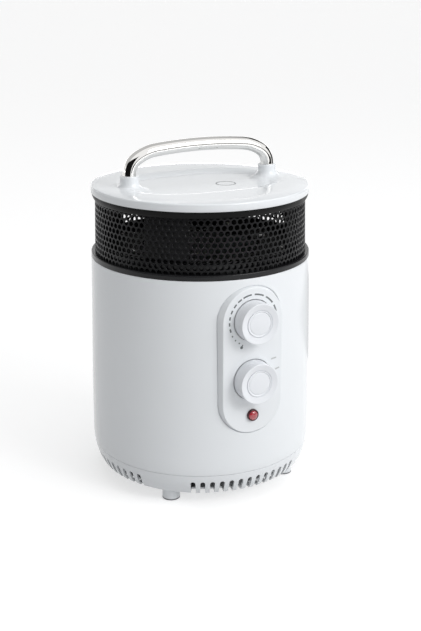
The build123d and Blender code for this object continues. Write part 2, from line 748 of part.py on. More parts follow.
with BuildPart() as handle_screws:
    with BuildSketch(Plane.XY.offset(269.2)):
        with Locations((boss_x, 0), (-boss_x, 0)):
            Circle(4.3)
    extrude(amount=-3.2)
    with BuildSketch(Plane.XY.offset(269.2)):
        with Locations((boss_x, 0), (-boss_x, 0)):
            Circle(2.5)
    extrude(amount=14)
handle_screws.part.label = "handle_screws"
export_step(handle_screws.part, "parts/handle_screws.step")

# ---------------------------------------------------------------- duct and heater
with BuildPart() as air_duct:
    with BuildSketch(Plane.XZ):
        with BuildLine():
            Polyline(
                (duct_r, ledge_z), (duct_r, 150.0), (duct_r - 2.5, 150.0), (duct_r - 2.5, 148.0),
                (duct_r, 146.0), (duct_r, 66.0), (58.5, 61.0), (62.5, 58.6), (63.5, 60.2),
                (60.0, 62.2), (duct_r + duct_wall, 66.4), (duct_r + duct_wall, 210.9),
                (72.5, 210.9), (72.5, ledge_z), close=True,
            )
        make_face()
    revolve(axis=Axis.Z)
    with BuildSketch(Plane.XY.offset(210)):
        with PolarLocations(65, 4):
            Circle(1.6)
    extrude(amount=4, mode=Mode.SUBTRACT)
air_duct.part.label = "air_duct"
export_step(air_duct.part, "parts/air_duct.step")

with BuildPart() as duct_screws:
    with BuildSketch(Plane.XY.offset(ledge_z + 2)):
        with PolarLocations(65, 4):
            Circle(2.8)
    extrude(amount=2.0)
    with BuildSketch(Plane.XY.offset(208.6)):
        with PolarLocations(65, 4):
            Circle(1.55)
    extrude(amount=ledge_z + 2 - 208.6)
duct_screws.part.label = "duct_screws"
export_step(duct_screws.part, "parts/duct_screws.step")

with BuildPart() as heater_frame:
    with BuildSketch(Plane.XY.offset(150)):
        Circle(duct_r - 0.2)
        Rectangle(70, 70, mode=Mode.SUBTRACT)
    extrude(amount=3)
    with BuildSketch(Plane.XY.offset(152)):
        RectangleRounded(74, 74, 1.5)
        Rectangle(70, 70, mode=Mode.SUBTRACT)
    extrude(amount=25)
heater_frame.part.label = "heater_frame"
export_step(heater_frame.part, "parts/heater_frame.step")

bar_width = 4.0
pack_width = (70 - 3 * bar_width) / 4
with BuildPart() as ptc_bars:
    with BuildSketch(Plane.XY.offset(151)):
        with GridLocations(pack_width + bar_width, 1, 3, 1):
            Rectangle(bar_width, 70)
    extrude(amount=24)
ptc_bars.part.label = "ptc_bars"
export_step(ptc_bars.part, "parts/ptc_bars.step")

with BuildPart() as heater_fins:
    with BuildSketch(Plane.XY.offset(151)):
        with GridLocations(pack_width + bar_width, 1, 4, 1):
            with GridLocations(pack_width - 0.6, 1, 2, 1):
                Rectangle(0.6, 69.6)
            with GridLocations(1, 3.6, 1, 19):
                Rectangle(pack_width - 0.3, 0.5)
    extrude(amount=24)
heater_fins.part.label = "heater_fins"
export_step(heater_fins.part, "parts/heater_fins.step")

with BuildPart() as heater_terminals:
    with BuildSketch(Plane.XY.offset(175)):
        with GridLocations(pack_width + bar_width, 1, 3, 1):
            Rectangle(0.8, 6.3)
    extrude(amount=11)
heater_terminals.part.label = "heater_terminals"
export_step(heater_terminals.part, "parts/heater_terminals.step")

with BuildPart() as thermal_cutout:
    with BuildSketch(Plane.XY.offset(153)):
        with Locations((0, 46.3)):
            Circle(7.6)
    extrude(amount=6)
    with BuildSketch(Plane.XY.offset(158)):
        with Locations((-4.5, 46.3), (4.5, 46.3)):
            Rectangle(0.8, 6.3)
    extrude(amount=9)
thermal_cutout.part.label = "thermal_cutout"
export_step(thermal_cutout.part, "parts/thermal_cutout.step")

# ---------------------------------------------------------------- fan
blade_count = 7
with BuildPart() as fan_impeller:
    with PolarLocations(32, blade_count):
        with Locations((0, 0, 76)):
            Box(44, 25, 1.8, rotation=(33, 0, 0))
    with BuildSketch(Plane.XY.offset(60)):
        Circle(impeller_r)
    extrude(amount=30, mode=Mode.INTERSECT)
    with BuildSketch(Plane.XY.offset(67)):
        Circle(15)
    extrude(amount=18)
    fillet(fan_impeller.edges().filter_by(GeomType.CIRCLE).group_by(Axis.Z)[-1], 2)
    with BuildSketch(Plane.XY.offset(66)):
        Circle(shaft_r)
    extrude(amount=16, mode=Mode.SUBTRACT)
fan_impeller.part.label = "fan_impeller"
export_step(fan_impeller.part, "parts/fan_impeller.step")

with BuildPart() as motor_shaft:
    with BuildSketch(Plane.XY.offset(42)):
        Circle(shaft_r)
    extrude(amount=40)
motor_shaft.part.label = "motor_shaft"
export_step(motor_shaft.part, "parts/motor_shaft.step")

with BuildPart() as fan_motor:
    with BuildSketch(Plane.XY.offset(30)):
        Circle(22)
    extrude(amount=29)
    fillet(fan_motor.edges().group_by(Axis.Z)[-1], 2)
    with BuildSketch(Plane.XY.offset(59)):
        Circle(6)
    extrude(amount=5)
    with BuildSketch(Plane.XY.offset(40)):
        Circle(shaft_bore_r)
    extrude(amount=30, mode=Mode.SUBTRACT)
    with BuildSketch(Plane.XY.offset(30)):
        with Locations((14, 0), (-14, 0)):
            Circle(1.55)
    extrude(amount=7, mode=Mode.SUBTRACT)
fan_motor.part.label = "fan_motor"
export_step(fan_motor.part, "parts/fan_motor.step")

with BuildPart() as motor_bracket:
    with BuildSketch(Plane.XY.offset(28)):
        RectangleRounded(146, 30, 6)
        with Locations((66, 0), (-66, 0)):
            Circle(1.8, mode=Mode.SUBTRACT)
        with Locations((14, 0), (-14, 0)):
            Circle(1.6, mode=Mode.SUBTRACT)
    extrude(amount=2)
motor_bracket.part.label = "motor_bracket"
export_step(motor_bracket.part, "parts/motor_bracket.step")

with BuildPart() as motor_screws:
    with BuildSketch(Plane.XY.offset(28)):
        with Locations((14, 0), (-14, 0)):
            Circle(2.8)
    extrude(amount=-2)
    with BuildSketch(Plane.XY.offset(28)):
        with Locations((14, 0), (-14, 0)):
            Circle(1.5)
    extrude(amount=8)
    with BuildSketch(Plane.XY.offset(30)):
        with Locations((66, 0), (-66, 0)):
            Circle(3.2)
    extrude(amount=2.2)
    with BuildSketch(Plane.XY.offset(18)):
        with Locations((66, 0), (-66, 0)):
            Circle(1.75)
    extrude(amount=12)
motor_screws.part.label = "motor_screws"
export_step(motor_screws.part, "parts/motor_screws.step")

# ---------------------------------------------------------------- tip-over switch
with BuildPart() as tip_switch:
    with BuildSketch(Plane.XY.offset(base_floor_top)):
        with Locations((0, -60)):
            RectangleRounded(18, 15, 2)
    extrude(amount=27)
    with BuildSketch(Plane.XY.offset(base_floor_top - 1)):
        with Locations((0, -60)):
            Circle(3.56)
    extrude(amount=25, mode=Mode.SUBTRACT)
tip_switch.part.label = "tip_switch"
export_step(tip_switch.part, "parts/tip_switch.step")

with BuildPart() as tip_plunger:
    with BuildSketch(Plane.XY.offset(0.3)):
        with Locations((0, -60)):
            Circle(3.5)
    extrude(amount=28.7)
    fillet(tip_plunger.edges().group_by(Axis.Z)[0], 1.5)
tip_plunger.part.label = "tip_plunger"
export_step(tip_plunger.part, "parts/tip_plunger.step")

# return spring, pressed between the plunger and the switch body
with BuildPart() as tip_spring:
    with BuildLine(Plane.XY.offset(29.6)) as coil_path:
        Helix(pitch=2.0, height=7.8, radius=2.6, center=(0, 0, 0))
    with BuildSketch(Plane(origin=coil_path.line @ 0, z_dir=coil_path.line % 0)):
        Circle(0.45)
    sweep(path=coil_path.line)
tip_spring_part = Pos(0, -60, 0) * tip_spring.part
tip_spring_part.label = "tip_spring"
export_step(tip_spring_part, "parts/tip_spring.step")

# ---------------------------------------------------------------- mains side
with BuildPart() as terminal_block:
    with BuildSketch(Plane.XY.offset(base_floor_top)):
        with Locations((0, 70)):
            RectangleRounded(34, 16, 1)
    extrude(amount=13)
    with BuildSketch(Plane.XZ.offset(-60)):
        with Locations((-10, 22), (0, 22), (10, 22)):
            Circle(2.2)
    extrude(amount=-20, mode=Mode.SUBTRACT)
terminal_block.part.label = "terminal_block"
export_step(terminal_block.part, "parts/terminal_block.step")

with BuildPart() as cord_gland:
    with BuildSketch(Plane.YZ):
        with BuildLine():
            Polyline((95.8, 48 + 3.6), (104.6, 48 + 3.6), (104.6, 48 + 8.2), (103.8, 48 + 9.2),
                     (102.0, 48 + 9.2), (102.0, 48 + 6.4), (98.6, 48 + 6.4), (97.0, 48 + 7.4),
                     (95.8, 48 + 6.2), close=True)
        make_face()
    revolve(axis=Axis((0, 0, 48), (0, 1, 0)))
cord_gland.part.label = "cord_gland"
export_step(cord_gland.part, "parts/cord_gland.step")
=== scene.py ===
import bpy
import bmesh
import json
import math
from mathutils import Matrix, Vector
from mathutils.geometry import delaunay_2d_cdt


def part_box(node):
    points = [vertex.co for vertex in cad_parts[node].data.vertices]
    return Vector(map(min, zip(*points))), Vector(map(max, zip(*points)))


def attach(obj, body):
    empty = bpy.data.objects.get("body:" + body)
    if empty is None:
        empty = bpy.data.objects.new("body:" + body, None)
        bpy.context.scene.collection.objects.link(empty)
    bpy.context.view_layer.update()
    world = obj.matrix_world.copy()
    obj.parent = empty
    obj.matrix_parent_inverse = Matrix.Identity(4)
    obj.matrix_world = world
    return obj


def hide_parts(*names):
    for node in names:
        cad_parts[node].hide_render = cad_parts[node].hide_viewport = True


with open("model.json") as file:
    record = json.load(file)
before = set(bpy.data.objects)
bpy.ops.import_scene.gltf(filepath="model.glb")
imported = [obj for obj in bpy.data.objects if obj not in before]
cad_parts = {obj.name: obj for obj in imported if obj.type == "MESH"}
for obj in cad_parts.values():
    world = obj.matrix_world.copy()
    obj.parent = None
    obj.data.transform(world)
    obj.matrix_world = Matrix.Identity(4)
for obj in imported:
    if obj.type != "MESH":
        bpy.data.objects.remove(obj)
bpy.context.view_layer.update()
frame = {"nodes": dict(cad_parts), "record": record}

MM = 0.001
scene = bpy.context.scene
scene.view_settings.view_transform = "Standard"
scene.view_settings.look = "None"

# ------------------------------------------------------------------ geometry helpers


def fillet_path(points, closed=False, step=11.0, support=0.5):
    """A polyline whose corners (x, y, radius) become tangent arcs, with a support point beside each arc."""
    out = []
    n = len(points)
    for i, p in enumerate(points):
        r = p[2] if len(p) > 2 else 0.0
        if (not closed and i in (0, n - 1)) or r <= 0:
            out.append((p[0], p[1]))
            continue
        a, b = points[i - 1], points[(i + 1) % n]
        v1 = Vector((p[0] - a[0], p[1] - a[1]))
        v2 = Vector((b[0] - p[0], b[1] - p[1]))
        l1, l2 = v1.length, v2.length
        d1, d2 = v1.normalized(), v2.normalized()
        turn = d1.angle(d2)
        if turn < 0.02:
            out.append((p[0], p[1]))
            continue
        t = min(r * math.tan(turn / 2), 0.46 * l1, 0.46 * l2)
        r = t / math.tan(turn / 2)
        s = 1.0 if d1.x * d2.y - d1.y * d2.x > 0 else -1.0
        start = Vector((p[0], p[1])) - d1 * t
        centre = start + Vector((-d1.y, d1.x)) * s * r
        gap1, gap2 = min(support, 0.3 * (l1 - t)), min(support, 0.3 * (l2 - t))
        q = start - d1 * gap1
        out.append((q.x, q.y))
        k = max(3, int(math.ceil(math.degrees(turn) / step)))
        ray = start - centre
        for j in range(k + 1):
            ang = s * turn * j / k
            c, sn = math.cos(ang), math.sin(ang)
            out.append((centre.x + ray.x * c - ray.y * sn, centre.y + ray.x * sn + ray.y * c))
        q = Vector((p[0], p[1])) + d2 * (t + gap2)
        out.append((q.x, q.y))
    return out


def curve_through(knots, x):
    """Smooth monotone interpolation through (x, y) knots."""
    n = len(knots)
    if x <= knots[0][0]:
        return knots[0][1]
    if x >= knots[-1][0]:
        return knots[-1][1]
    h = [knots[i + 1][0] - knots[i][0] for i in range(n - 1)]
    d = [(knots[i + 1][1] - knots[i][1]) / h[i] for i in range(n - 1)]
    m = [d[0]] + [0.0 if d[i - 1] * d[i] <= 0 else 2 * d[i - 1] * d[i] / (d[i - 1] + d[i]) for i in range(1, n - 1)] + [d[-1]]
    for i in range(n - 1):
        if x <= knots[i + 1][0]:
            t = (x - knots[i][0]) / h[i]
            return ((2 * t**3 - 3 * t**2 + 1) * knots[i][1] + (t**3 - 2 * t**2 + t) * h[i] * m[i]
                    + (-2 * t**3 + 3 * t**2) * knots[i + 1][1] + (t**3 - t**2) * h[i] * m[i + 1])


def new_piece(name, verts, faces, body=None, replaces=(), slot=None, material=None, sharp=38.0, weighted=True, recalc=True):
    """A mesh piece given in millimetres, welded, smooth apart from edges sharper than the angle."""
    me = bpy.data.meshes.new(name)
    me.from_pydata([(v[0] * MM, v[1] * MM, v[2] * MM) for v in verts], [], faces)
    bm = bmesh.new()
    bm.from_mesh(me)
    bmesh.ops.remove_doubles(bm, verts=bm.verts, dist=2e-6)
    bmesh.ops.dissolve_degenerate(bm, dist=1e-7, edges=bm.edges)
    if recalc:
        bmesh.ops.recalc_face_normals(bm, faces=bm.faces)
    bm.to_mesh(me)
    bm.free()
    for p in me.polygons:
        p.use_smooth = True
    me.set_sharp_from_angle(angle=math.radians(sharp))
    ob = bpy.data.objects.new(name, me)
    scene.collection.objects.link(ob)
    if material:
        me.materials.append(material)
    if weighted:
        w = ob.modifiers.new("weighted", "WEIGHTED_NORMAL")
        w.keep_sharp = True
    if body:
        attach(ob, body)
    if replaces:
        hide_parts(*replaces)
    return ob


def lathe_data(profile, n=192, closed=True, axis="Z", centre=(0.0, 0.0, 0.0), phase=0.0):
    """Verts and faces of a surface of revolution. profile is (radius, height) in millimetres."""
    verts, rings, faces = [], [], []
    for r, h in profile:
        ring = []
        if r < 1e-5:
            verts.append((centre[0], centre[1], h) if axis == "Z" else (centre[0], h, centre[2]))
            ring = [len(verts) - 1] * n
        else:
            for j in range(n):
                a = 2 * math.pi * j / n + phase
                if axis == "Z":
                    verts.append((centre[0] + r * math.cos(a), centre[1] + r * math.sin(a), h))
                else:
                    verts.append((centre[0] + r * math.cos(a), h, centre[2] + r * math.sin(a)))
                ring.append(len(verts) - 1)
        rings.append(ring)
    pairs = list(zip(rings, rings[1:]))
    if closed:
        pairs.append((rings[-1], rings[0]))
    for a, b in pairs:
        for j in range(n):
            k = (j + 1) % n
            f = []
            for v in (a[j], a[k], b[k], b[j]):
                if v not in f:
                    f.append(v)
            if len(f) >= 3:
                faces.append(f)
    return verts, faces


def join_data(*parts):
    verts, faces = [], []
    for v, f in parts:
        o = len(verts)
        verts += v
        faces += [[i + o for i in g] for g in f]
    return verts, faces


# ------------------------------------------------------------------ materials


def nodes_of(name):
    mat = bpy.data.materials.new(name)
    mat.use_nodes = True
    nt = mat.node_tree
    return mat, nt, nt.nodes["Principled BSDF"]


def noise(nt, scale, detail=2.0, rough=0.5, kind="Object", stretch=None):
    coord = nt.nodes.new("ShaderNodeTexCoord")
    tex = nt.nodes.new("ShaderNodeTexNoise")
    tex.inputs["Scale"].default_value = scale
    tex.inputs["Detail"].default_value = detail
    tex.inputs["Roughness"].default_value = rough
    if stretch:
        mapping = nt.nodes.new("ShaderNodeMapping")
        mapping.inputs["Scale"].default_value = stretch
        nt.links.new(coord.outputs[kind], mapping.inputs["Vector"])
        nt.links.new(mapping.outputs["Vector"], tex.inputs["Vector"])
    else:
        nt.links.new(coord.outputs[kind], tex.inputs["Vector"])
    return tex


def remap(nt, socket, lo, hi, a=0.3, b=0.7):
    m = nt.nodes.new("ShaderNodeMapRange")
    m.inputs["From Min"].default_value = a
    m.inputs["From Max"].default_value = b
    m.inputs["To Min"].default_value = lo
    m.inputs["To Max"].default_value = hi
    nt.links.new(socket, m.inputs["Value"])
    return m.outputs["Result"]


def finish_material(name, base, vary=0.03, rough=0.3, rough_vary=0.05, metallic=0.0, cloud=14.0, smudge=40.0,
                    bumps=((900.0, 0.00002, 0.25),), spec=0.5, coat=0.0, coat_rough=0.05, tint=None, stretch=None):
    """Plastic, paint or metal with slow colour variation, uneven roughness and layered fine bumps."""
    mat, nt, b = nodes_of(name)
    b.inputs["Metallic"].default_value = metallic
    b.inputs["Specular IOR Level"].default_value = spec
    b.inputs["Coat Weight"].default_value = coat
    b.inputs["Coat Roughness"].default_value = coat_rough
    n1 = noise(nt, cloud, 3.0)
    ramp = nt.nodes.new("ShaderNodeValToRGB")
    low = [c * (1 - vary) for c in base]
    high = [min(1.0, c * (1 + vary)) for c in (tint or base)]
    ramp.color_ramp.elements[0].position = 0.32
    ramp.color_ramp.elements[1].position = 0.68
    ramp.color_ramp.elements[0].color = (*low, 1)
    ramp.color_ramp.elements[1].color = (*high, 1)
    nt.links.new(n1.outputs["Fac"], ramp.inputs["Fac"])
    nt.links.new(ramp.outputs["Color"], b.inputs["Base Color"])
    n2 = noise(nt, smudge, 4.0, 0.6, stretch=stretch)
    nt.links.new(remap(nt, n2.outputs["Fac"], max(0.02, rough - rough_vary), rough + rough_vary), b.inputs["Roughness"])
    last = None
    for scale, dist, strength in bumps:
        n3 = noise(nt, scale, 2.0, 0.5, stretch=stretch)
        bump = nt.nodes.new("ShaderNodeBump")
        bump.inputs["Distance"].default_value = dist
        bump.inputs["Strength"].default_value = strength
        nt.links.new(n3.outputs["Fac"], bump.inputs["Height"])
        if last:
            nt.links.new(last.outputs["Normal"], bump.inputs["Normal"])
        last = bump
    if last:
        nt.links.new(last.outputs["Normal"], b.inputs["Normal"])
    return mat


white = finish_material("white_casing", (0.80, 0.825, 0.85), vary=0.008, rough=0.15, rough_vary=0.03, cloud=9.0,
                        smudge=22.0, bumps=((60.0, 0.00008, 0.05), (1800.0, 0.000006, 0.10)))
knob_white = finish_material("knob_white", (0.80, 0.82, 0.855), vary=0.008, rough=0.24, rough_vary=0.04, cloud=30.0,
                             smudge=60.0, bumps=((2400.0, 0.000006, 0.12),))
black_plastic = finish_material("black_plastic", (0.008, 0.008, 0.009), vary=0.18, rough=0.30, rough_vary=0.06, cloud=25.0, spec=0.28,
                                smudge=60.0, bumps=((2600.0, 0.00001, 0.18),))
black_steel = finish_material("black_steel", (0.005, 0.005, 0.006), vary=0.2, rough=0.32, rough_vary=0.06, cloud=30.0, spec=0.23,
                              smudge=70.0, bumps=((3200.0, 0.00001, 0.2),))
# less reflective copy of the black plastic for the ring under the lid, so it reads darker than the other black rings:
# painted shade
ring_black = finish_material("upper_ring_shaded_black", (0.006, 0.006, 0.006), vary=0.18, rough=0.36, rough_vary=0.06, cloud=25.0, spec=0.09,
                             smudge=60.0, bumps=((2600.0, 0.00001, 0.18),))
ring_low = finish_material("lower_ring_black", (0.007, 0.007, 0.008), vary=0.18, rough=0.22, rough_vary=0.05, cloud=25.0, spec=0.32,
                           smudge=60.0, bumps=((2600.0, 0.00001, 0.18),))
post_black = finish_material("post_black", (0.011, 0.011, 0.012), vary=0.2, rough=0.42, rough_vary=0.08, cloud=30.0, spec=0.35,
                             smudge=70.0, bumps=((1500.0, 0.00002, 0.3),))
# near-black, barely reflective finish for the inner deck plate, air deflector and heat shield, so the inside behind the
# grille reads dark: painted shade
painted_shade_black = finish_material("painted_shade_black", (0.004, 0.004, 0.004), vary=0.25, rough=0.6, rough_vary=0.08, cloud=30.0, spec=0.10,
                               smudge=70.0, bumps=((1500.0, 0.00002, 0.3),))
chrome = finish_material("chrome_tube", (0.86, 0.85, 0.83), vary=0.015, rough=0.045, rough_vary=0.02, metallic=1.0,
                         cloud=20.0, smudge=90.0, bumps=((140.0, 0.00001, 0.04),))
rubber_grey = finish_material("foot_rubber", (0.22, 0.225, 0.235), vary=0.1, rough=0.75, rough_vary=0.08, cloud=60.0,
                              bumps=((1500.0, 0.00003, 0.4),))
rubber_black = finish_material("black_rubber", (0.02, 0.02, 0.021), vary=0.15, rough=0.6, rough_vary=0.08, cloud=60.0,
                               bumps=((1500.0, 0.00003, 0.4),))
zinc = finish_material("zinc_steel", (0.60, 0.61, 0.62), vary=0.08, rough=0.34, rough_vary=0.1, metallic=1.0, cloud=120.0,
                       smudge=300.0, bumps=((1800.0, 0.00001, 0.3),), tint=(0.62, 0.61, 0.56))
bare_steel = finish_material("bare_steel", (0.22, 0.22, 0.23), vary=0.1, rough=0.42, rough_vary=0.1, metallic=1.0, cloud=40.0,
                             smudge=120.0, bumps=((900.0, 0.00001, 0.3),))
duct_steel = finish_material("duct_steel", (0.42, 0.43, 0.44), vary=0.14, rough=0.40, rough_vary=0.1, metallic=1.0, cloud=160.0,
                             smudge=220.0, bumps=((400.0, 0.00001, 0.3),))
black_resin = finish_material("black_resin", (0.03, 0.03, 0.03), vary=0.15, rough=0.5, rough_vary=0.08, cloud=60.0,
                              bumps=((1500.0, 0.00002, 0.4),))
ceramic = finish_material("heater_ceramic", (0.62, 0.58, 0.52), vary=0.08, rough=0.65, rough_vary=0.1, cloud=90.0,
                          bumps=((900.0, 0.00003, 0.5),))
aluminium = finish_material("fin_aluminium", (0.72, 0.73, 0.75), vary=0.05, rough=0.32, rough_vary=0.08, metallic=1.0,
                            cloud=80.0, smudge=200.0, bumps=((700.0, 0.00001, 0.3),))
brass = finish_material("terminal_brass", (0.70, 0.53, 0.24), vary=0.08, rough=0.28, rough_vary=0.1, metallic=1.0, cloud=90.0,
                        smudge=200.0, bumps=((900.0, 0.00001, 0.3),))
nylon = finish_material("switch_nylon", (0.70, 0.70, 0.67), vary=0.04, rough=0.45, rough_vary=0.08, cloud=60.0,
                        bumps=((1500.0, 0.00002, 0.3),))
fan_nylon = finish_material("fan_nylon", (0.035, 0.035, 0.038), vary=0.15, rough=0.40, rough_vary=0.08, cloud=60.0,
                            bumps=((1500.0, 0.00002, 0.3),))
ink = finish_material("dial_ink", (0.15, 0.165, 0.17), vary=0.15, rough=0.5, rough_vary=0.06, cloud=300.0,
                      bumps=((3000.0, 0.00001, 0.3),))
ink_pale = finish_material("pale_ink", (0.50, 0.51, 0.52), vary=0.12, rough=0.45, rough_vary=0.06, cloud=300.0,
                           bumps=((3000.0, 0.00001, 0.3),))
lamp_rim = finish_material("lamp_rim", (0.055, 0.006, 0.010), vary=0.2, rough=0.18, rough_vary=0.05, cloud=200.0,
                           bumps=((2400.0, 0.00001, 0.2),))
lamp_core = finish_material("lamp_core", (0.85, 0.30, 0.30), vary=0.12, rough=0.35, rough_vary=0.1, cloud=300.0,
                            bumps=((1200.0, 0.00004, 0.4),))

lens, nt, b = nodes_of("lamp_lens")
b.inputs["Transmission Weight"].default_value = 0.55
b.inputs["IOR"].default_value = 1.49
b.inputs["Coat Weight"].default_value = 1.0
b.inputs["Coat IOR"].default_value = 1.6
b.inputs["Coat Roughness"].default_value = 0.04
n = noise(nt, 260.0, 2.0)
ramp = nt.nodes.new("ShaderNodeValToRGB")
ramp.color_ramp.elements[0].color = (0.55, 0.03, 0.05, 1)
ramp.color_ramp.elements[1].color = (0.78, 0.12, 0.15, 1)
nt.links.new(n.outputs["Fac"], ramp.inputs["Fac"])
nt.links.new(ramp.outputs["Color"], b.inputs["Base Color"])
nt.links.new(remap(nt, noise(nt, 400.0).outputs["Fac"], 0.03, 0.10), b.inputs["Roughness"])

glass, nt, b = nodes_of("neon_glass")
b.inputs["Transmission Weight"].default_value = 0.9
b.inputs["IOR"].default_value = 1.5
n = noise(nt, 200.0, 2.0)
ramp = nt.nodes.new("ShaderNodeValToRGB")
ramp.color_ramp.elements[0].color = (0.90, 0.70, 0.55, 1)
ramp.color_ramp.elements[1].color = (0.98, 0.85, 0.75, 1)
nt.links.new(n.outputs["Fac"], ramp.inputs["Fac"])
nt.links.new(ramp.outputs["Color"], b.inputs["Base Color"])

slot_material = {
    "white_casing": white, "knob_white": knob_white, "black_plastic": black_plastic, "black_steel": black_steel,
    "chrome_tube": chrome, "lamp_red": lens, "lamp_rim": lamp_rim, "lamp_glass": glass, "black_rubber": rubber_black,
    "zinc_steel": zinc, "bare_steel": bare_steel, "duct_steel": duct_steel, "black_resin": black_resin,
    "heater_resin": black_resin, "heater_ceramic": ceramic, "fin_aluminium": aluminium, "terminal_brass": brass,
    "cutout_ceramic": ceramic, "fan_nylon": fan_nylon, "switch_nylon": nylon,
}
for sub in frame["record"]["subparts"]:
    ob = frame["nodes"][sub["node"]]
    mat = slot_material[sub["material_slot"]]
    if sub["node"] == "foot_pads":
        mat = rubber_grey
    # the inner deck plate, air deflector and heat shield are darkened whatever their own finish: painted shade for the
    # inside seen through the grille
    if sub["node"] in ("deck_plate", "air_deflector", "heat_shield"):
        mat = painted_shade_black
    if sub["node"] == "outlet_posts":
        mat = post_black
    ob.data.materials.clear()
    ob.data.materials.append(mat)

# ------------------------------------------------------------------ drum

drum_knots = [(31.08, 101.22), (34.0, 101.58), (38.0, 101.84), (42.0, 101.9), (70.0, 101.88), (99.0, 101.65), (123.0, 101.4),
              (158.0, 100.8), (193.0, 100.15), (208.1, 99.93)]


def drum_r(z):
    return curve_through(drum_knots, z)


PANEL_Y, Z_UP, Z_LOW, HALF = 102.4, 171.7, 97.8, 28.9
KNOBS = (("thermostat_knob", 171.8), ("selector_knob", 118.1))
LAMP_Z = 85.4
KNOB_HOLE = 18.5
DRAFT = math.tan(math.radians(16))


def shell_y(x, z):
    return math.sqrt(max(0.0, drum_r(z) ** 2 - x * x))


def stadium(n_arc=40, n_side=26):
    """Directions and centres round the panel's outline: (outward x, outward z, centre z)."""
    pts = []
    for j in range(n_arc + 1):
        a = math.pi * j / n_arc
        pts.append((math.cos(a), math.sin(a), Z_UP))
    for j in range(1, n_side):
        pts.append((-1.0, 0.0, Z_UP + (Z_LOW - Z_UP) * j / n_side))
    for j in range(n_arc + 1):
        a = math.pi + math.pi * j / n_arc
        pts.append((math.cos(a), math.sin(a), Z_LOW))
    for j in range(1, n_side):
        pts.append((1.0, 0.0, Z_LOW + (Z_UP - Z_LOW) * j / n_side))
    return pts


OUTLINE = stadium()


def foot_of_wall(cx, sz, zc, drop=0.0, spread=0.0):
    """Where the panel's drafted wall reaches the drum, moved in by drop and out sideways by spread."""
    w = HALF + 1.2
    y = 0.0
    for _ in range(8):
        y = shell_y(cx * w, zc + sz * w) - drop
        w = HALF + (PANEL_Y - y) * DRAFT
    return cx * (w + spread), y, zc + sz * (w + spread)


def drum_normal(x, y, z):
    slope = (drum_r(z + 0.25) - drum_r(z - 0.25)) / 0.5
    r = math.hypot(x, y)
    n = Vector((x / r, y / r, -slope))
    return n.normalized()


